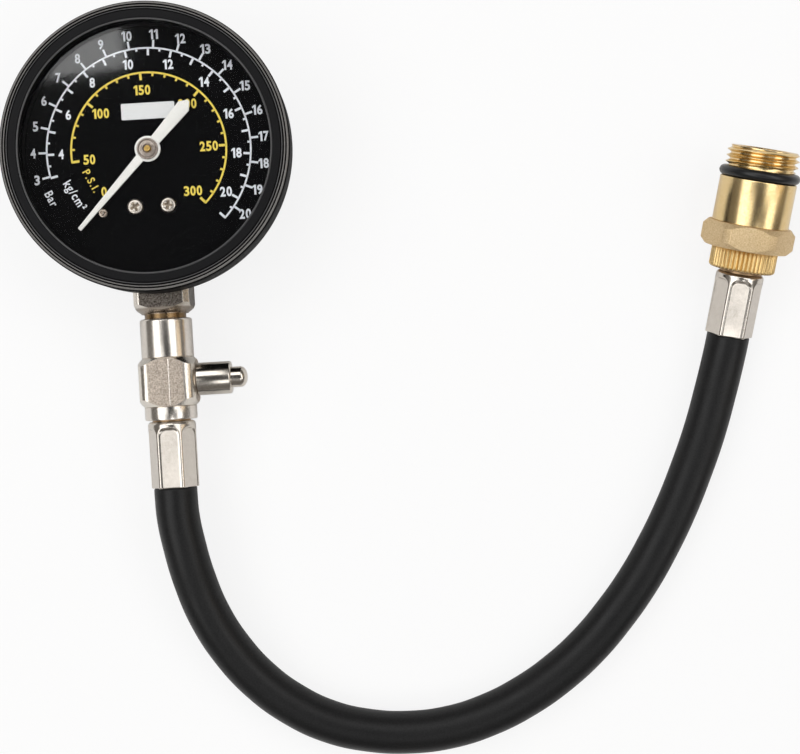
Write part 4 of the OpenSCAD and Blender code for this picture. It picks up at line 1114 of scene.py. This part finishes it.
# %% Yellow scale: psi
def yellow_scale():
    parts = [arc_line("yellow_arc", 19.0, 0.46, psi_angle(50) + 0.6, psi_angle(300) - 0.6)]
    for psi in range(50, 301, 10):
        long = psi % 50 == 0
        parts.append(tick(17.2 if long else 18.1, 19.0, 0.6 if long else 0.5, psi_angle(psi)))
    for psi in range(50, 301, 50):
        parts.append(figures(psi, *polar(14.75, psi_angle(psi))))
    parts.append(label("P.S.I.", *polar(16.1, 204.9), 2.7, turn=-64, bold=0.03, narrow=0.9, gap=1.24))
    parts.append(figures(0, *polar(15.0, psi_angle(0) - 12.5)))
    return join("yellow_print", parts)


yellow_print = yellow_scale()

# %% Blank white plate on the dial
def blank_plate():
    outline = (corner(6.25, 1.7, 0.3, 0, 90, 4) + corner(-6.25, 1.7, 0.3, 90, 180, 4)
               + corner(-6.25, -1.7, 0.3, 180, 270, 4) + corner(6.25, -1.7, 0.3, 270, 360, 4))
    plate = sheet_of("blank_plate", outline, ink_t)
    put(plate, Matrix.Translation((0.35 * mm, 9.6 * mm, dial_top * mm)))
    return plate


plate = blank_plate()
place(plate, plate_ink, "root", "pointer_white")

# %% Give the ink its thickness and lay it on the dial
def lay_ink(piece, material):
    close_up(piece)
    step = piece.modifiers.new("ink", "SOLIDIFY")
    step.thickness = ink_t * mm
    step.offset = 0
    pick(piece)
    bpy.ops.object.modifier_apply(modifier="ink")
    put(piece, Matrix.Translation((0, 0, (dial_top + ink_t / 2) * mm)))
    place(piece, material, "root", "pointer_white")


lay_ink(white_print, white_ink)
lay_ink(yellow_print, yellow_ink)

# %% [markdown]
# ## Floor and light
# The gauge lies on a plain pale table under level soft panels. A gap between
# them is left above each end of the tester, so that plated rods show a bright
# band on each side of a darker middle, as in the photograph. A small lamp in
# the upper left makes the soft patch on the glass.

# %% Floor
deselect()
bpy.ops.mesh.primitive_plane_add(size=30, location=(0, 0, -0.0001))
floor = bpy.context.object
floor.name = "table_top"
floor_paint = bpy.data.materials.new("table_top")
floor_paint.use_nodes = True
floor_tree = floor_paint.node_tree
floor_shader = floor_tree.nodes["Principled BSDF"]
floor_shader.inputs["Base Color"].default_value = (0.94, 0.94, 0.94, 1)
floor_shader.inputs["Roughness"].default_value = 0.9
rays = floor_tree.nodes.new("ShaderNodeLightPath")
seen = floor_tree.nodes.new("ShaderNodeMath")
seen.operation = "ADD"
seen.use_clamp = True
share = floor_tree.nodes.new("ShaderNodeMath")
share.operation = "MULTIPLY"
share.inputs[1].default_value = 0.83
white = floor_tree.nodes.new("ShaderNodeEmission")
blend = floor_tree.nodes.new("ShaderNodeMixShader")
floor_tree.links.new(rays.outputs["Is Camera Ray"], seen.inputs[0])
floor_tree.links.new(rays.outputs["Is Transmission Ray"], seen.inputs[1])
floor_tree.links.new(seen.outputs[0], share.inputs[0])
floor_tree.links.new(share.outputs[0], blend.inputs[0])
floor_tree.links.new(floor_shader.outputs[0], blend.inputs[1])
floor_tree.links.new(white.outputs[0], blend.inputs[2])
floor_tree.links.new(blend.outputs[0], floor_tree.nodes["Material Output"].inputs["Surface"])
floor.data.materials.append(floor_paint)

# %% Lamps
def soft_lamp(name, where, size, radiance, turn=0.0, tint=(1, 1, 1)):
    """A level panel above the table: its power follows from how bright its face is."""
    data = bpy.data.lights.new(name, "AREA")
    data.shape = "RECTANGLE"
    data.size, data.size_y = size
    data.energy = radiance * math.pi * size[0] * size[1]
    data.color = tint
    lamp = bpy.data.objects.new(name, data)
    bpy.context.scene.collection.objects.link(lamp)
    lamp.location = where
    lamp.rotation_euler = (0, 0, math.radians(turn))
    return lamp


level = 2.0
height = 1.2
panels = {"left": (-1.5, -0.5, -1.05, 1.05, level), "middle_left": (-0.5, -0.2, -0.33, 0.03, 1.5),
          "middle": (-0.2, -0.1, -0.4, 0.02, 0.6),
          "front_left": (-0.5, -0.26, -1.0, -0.33, 0.7), "front": (0.12, 0.42, -1.0, -0.46, level),
          "near_right": (0.52, 1.3, -0.19, 0.1, level), "right": (0.4, 1.3, 0.1, 0.7, level),
          "front_right": (0.85, 1.9, -1.0, -0.27, level), "back": (-0.45, 0.25, 0.4, 1.4, level)}
for name, (x0, x1, y0, y1, radiance) in panels.items():
    soft_lamp("panel_" + name, ((x0 + x1) / 2, (y0 + y1) / 2, height), (x1 - x0, y1 - y0), radiance)
soft_lamp("warm_wall", (2.5, 0.02, height), (1.9, 0.75), 0.95, tint=(1, 0.8, 0.56))
soft_lamp("glass_patch", (-0.29, 0.336, height - 0.01), (0.175, 0.155), 2.8, turn=5)

# %% World: a room that is dark low down and grey overhead
def studio_room():
    world = bpy.data.worlds.new("studio")
    bpy.context.scene.world = world
    world.use_nodes = True
    tree = world.node_tree
    direction = tree.nodes.new("ShaderNodeTexCoord")
    split = tree.nodes.new("ShaderNodeSeparateXYZ")
    ramp = tree.nodes.new("ShaderNodeValToRGB")
    ramp.color_ramp.elements[0].position = 0.0
    ramp.color_ramp.elements[0].color = (0.30, 0.29, 0.28, 1)
    ramp.color_ramp.elements[1].position = 1.0
    ramp.color_ramp.elements[1].color = (0.05, 0.05, 0.052, 1)
    for position, grey in ((0.15, (0.17, 0.16, 0.15, 1)), (0.6, (0.2, 0.19, 0.18, 1)),
                           (0.8, (0.34, 0.34, 0.34, 1)), (0.93, (0.26, 0.26, 0.26, 1)),
                           (0.965, (0.06, 0.06, 0.06, 1))):
        ramp.color_ramp.elements.new(position).color = grey
    tree.links.new(direction.outputs["Generated"], split.inputs["Vector"])
    tree.links.new(split.outputs["Z"], ramp.inputs["Fac"])
    tree.links.new(ramp.outputs["Color"], tree.nodes["Background"].inputs["Color"])


studio_room()

# %% Update the view layer
bpy.context.view_layer.update()
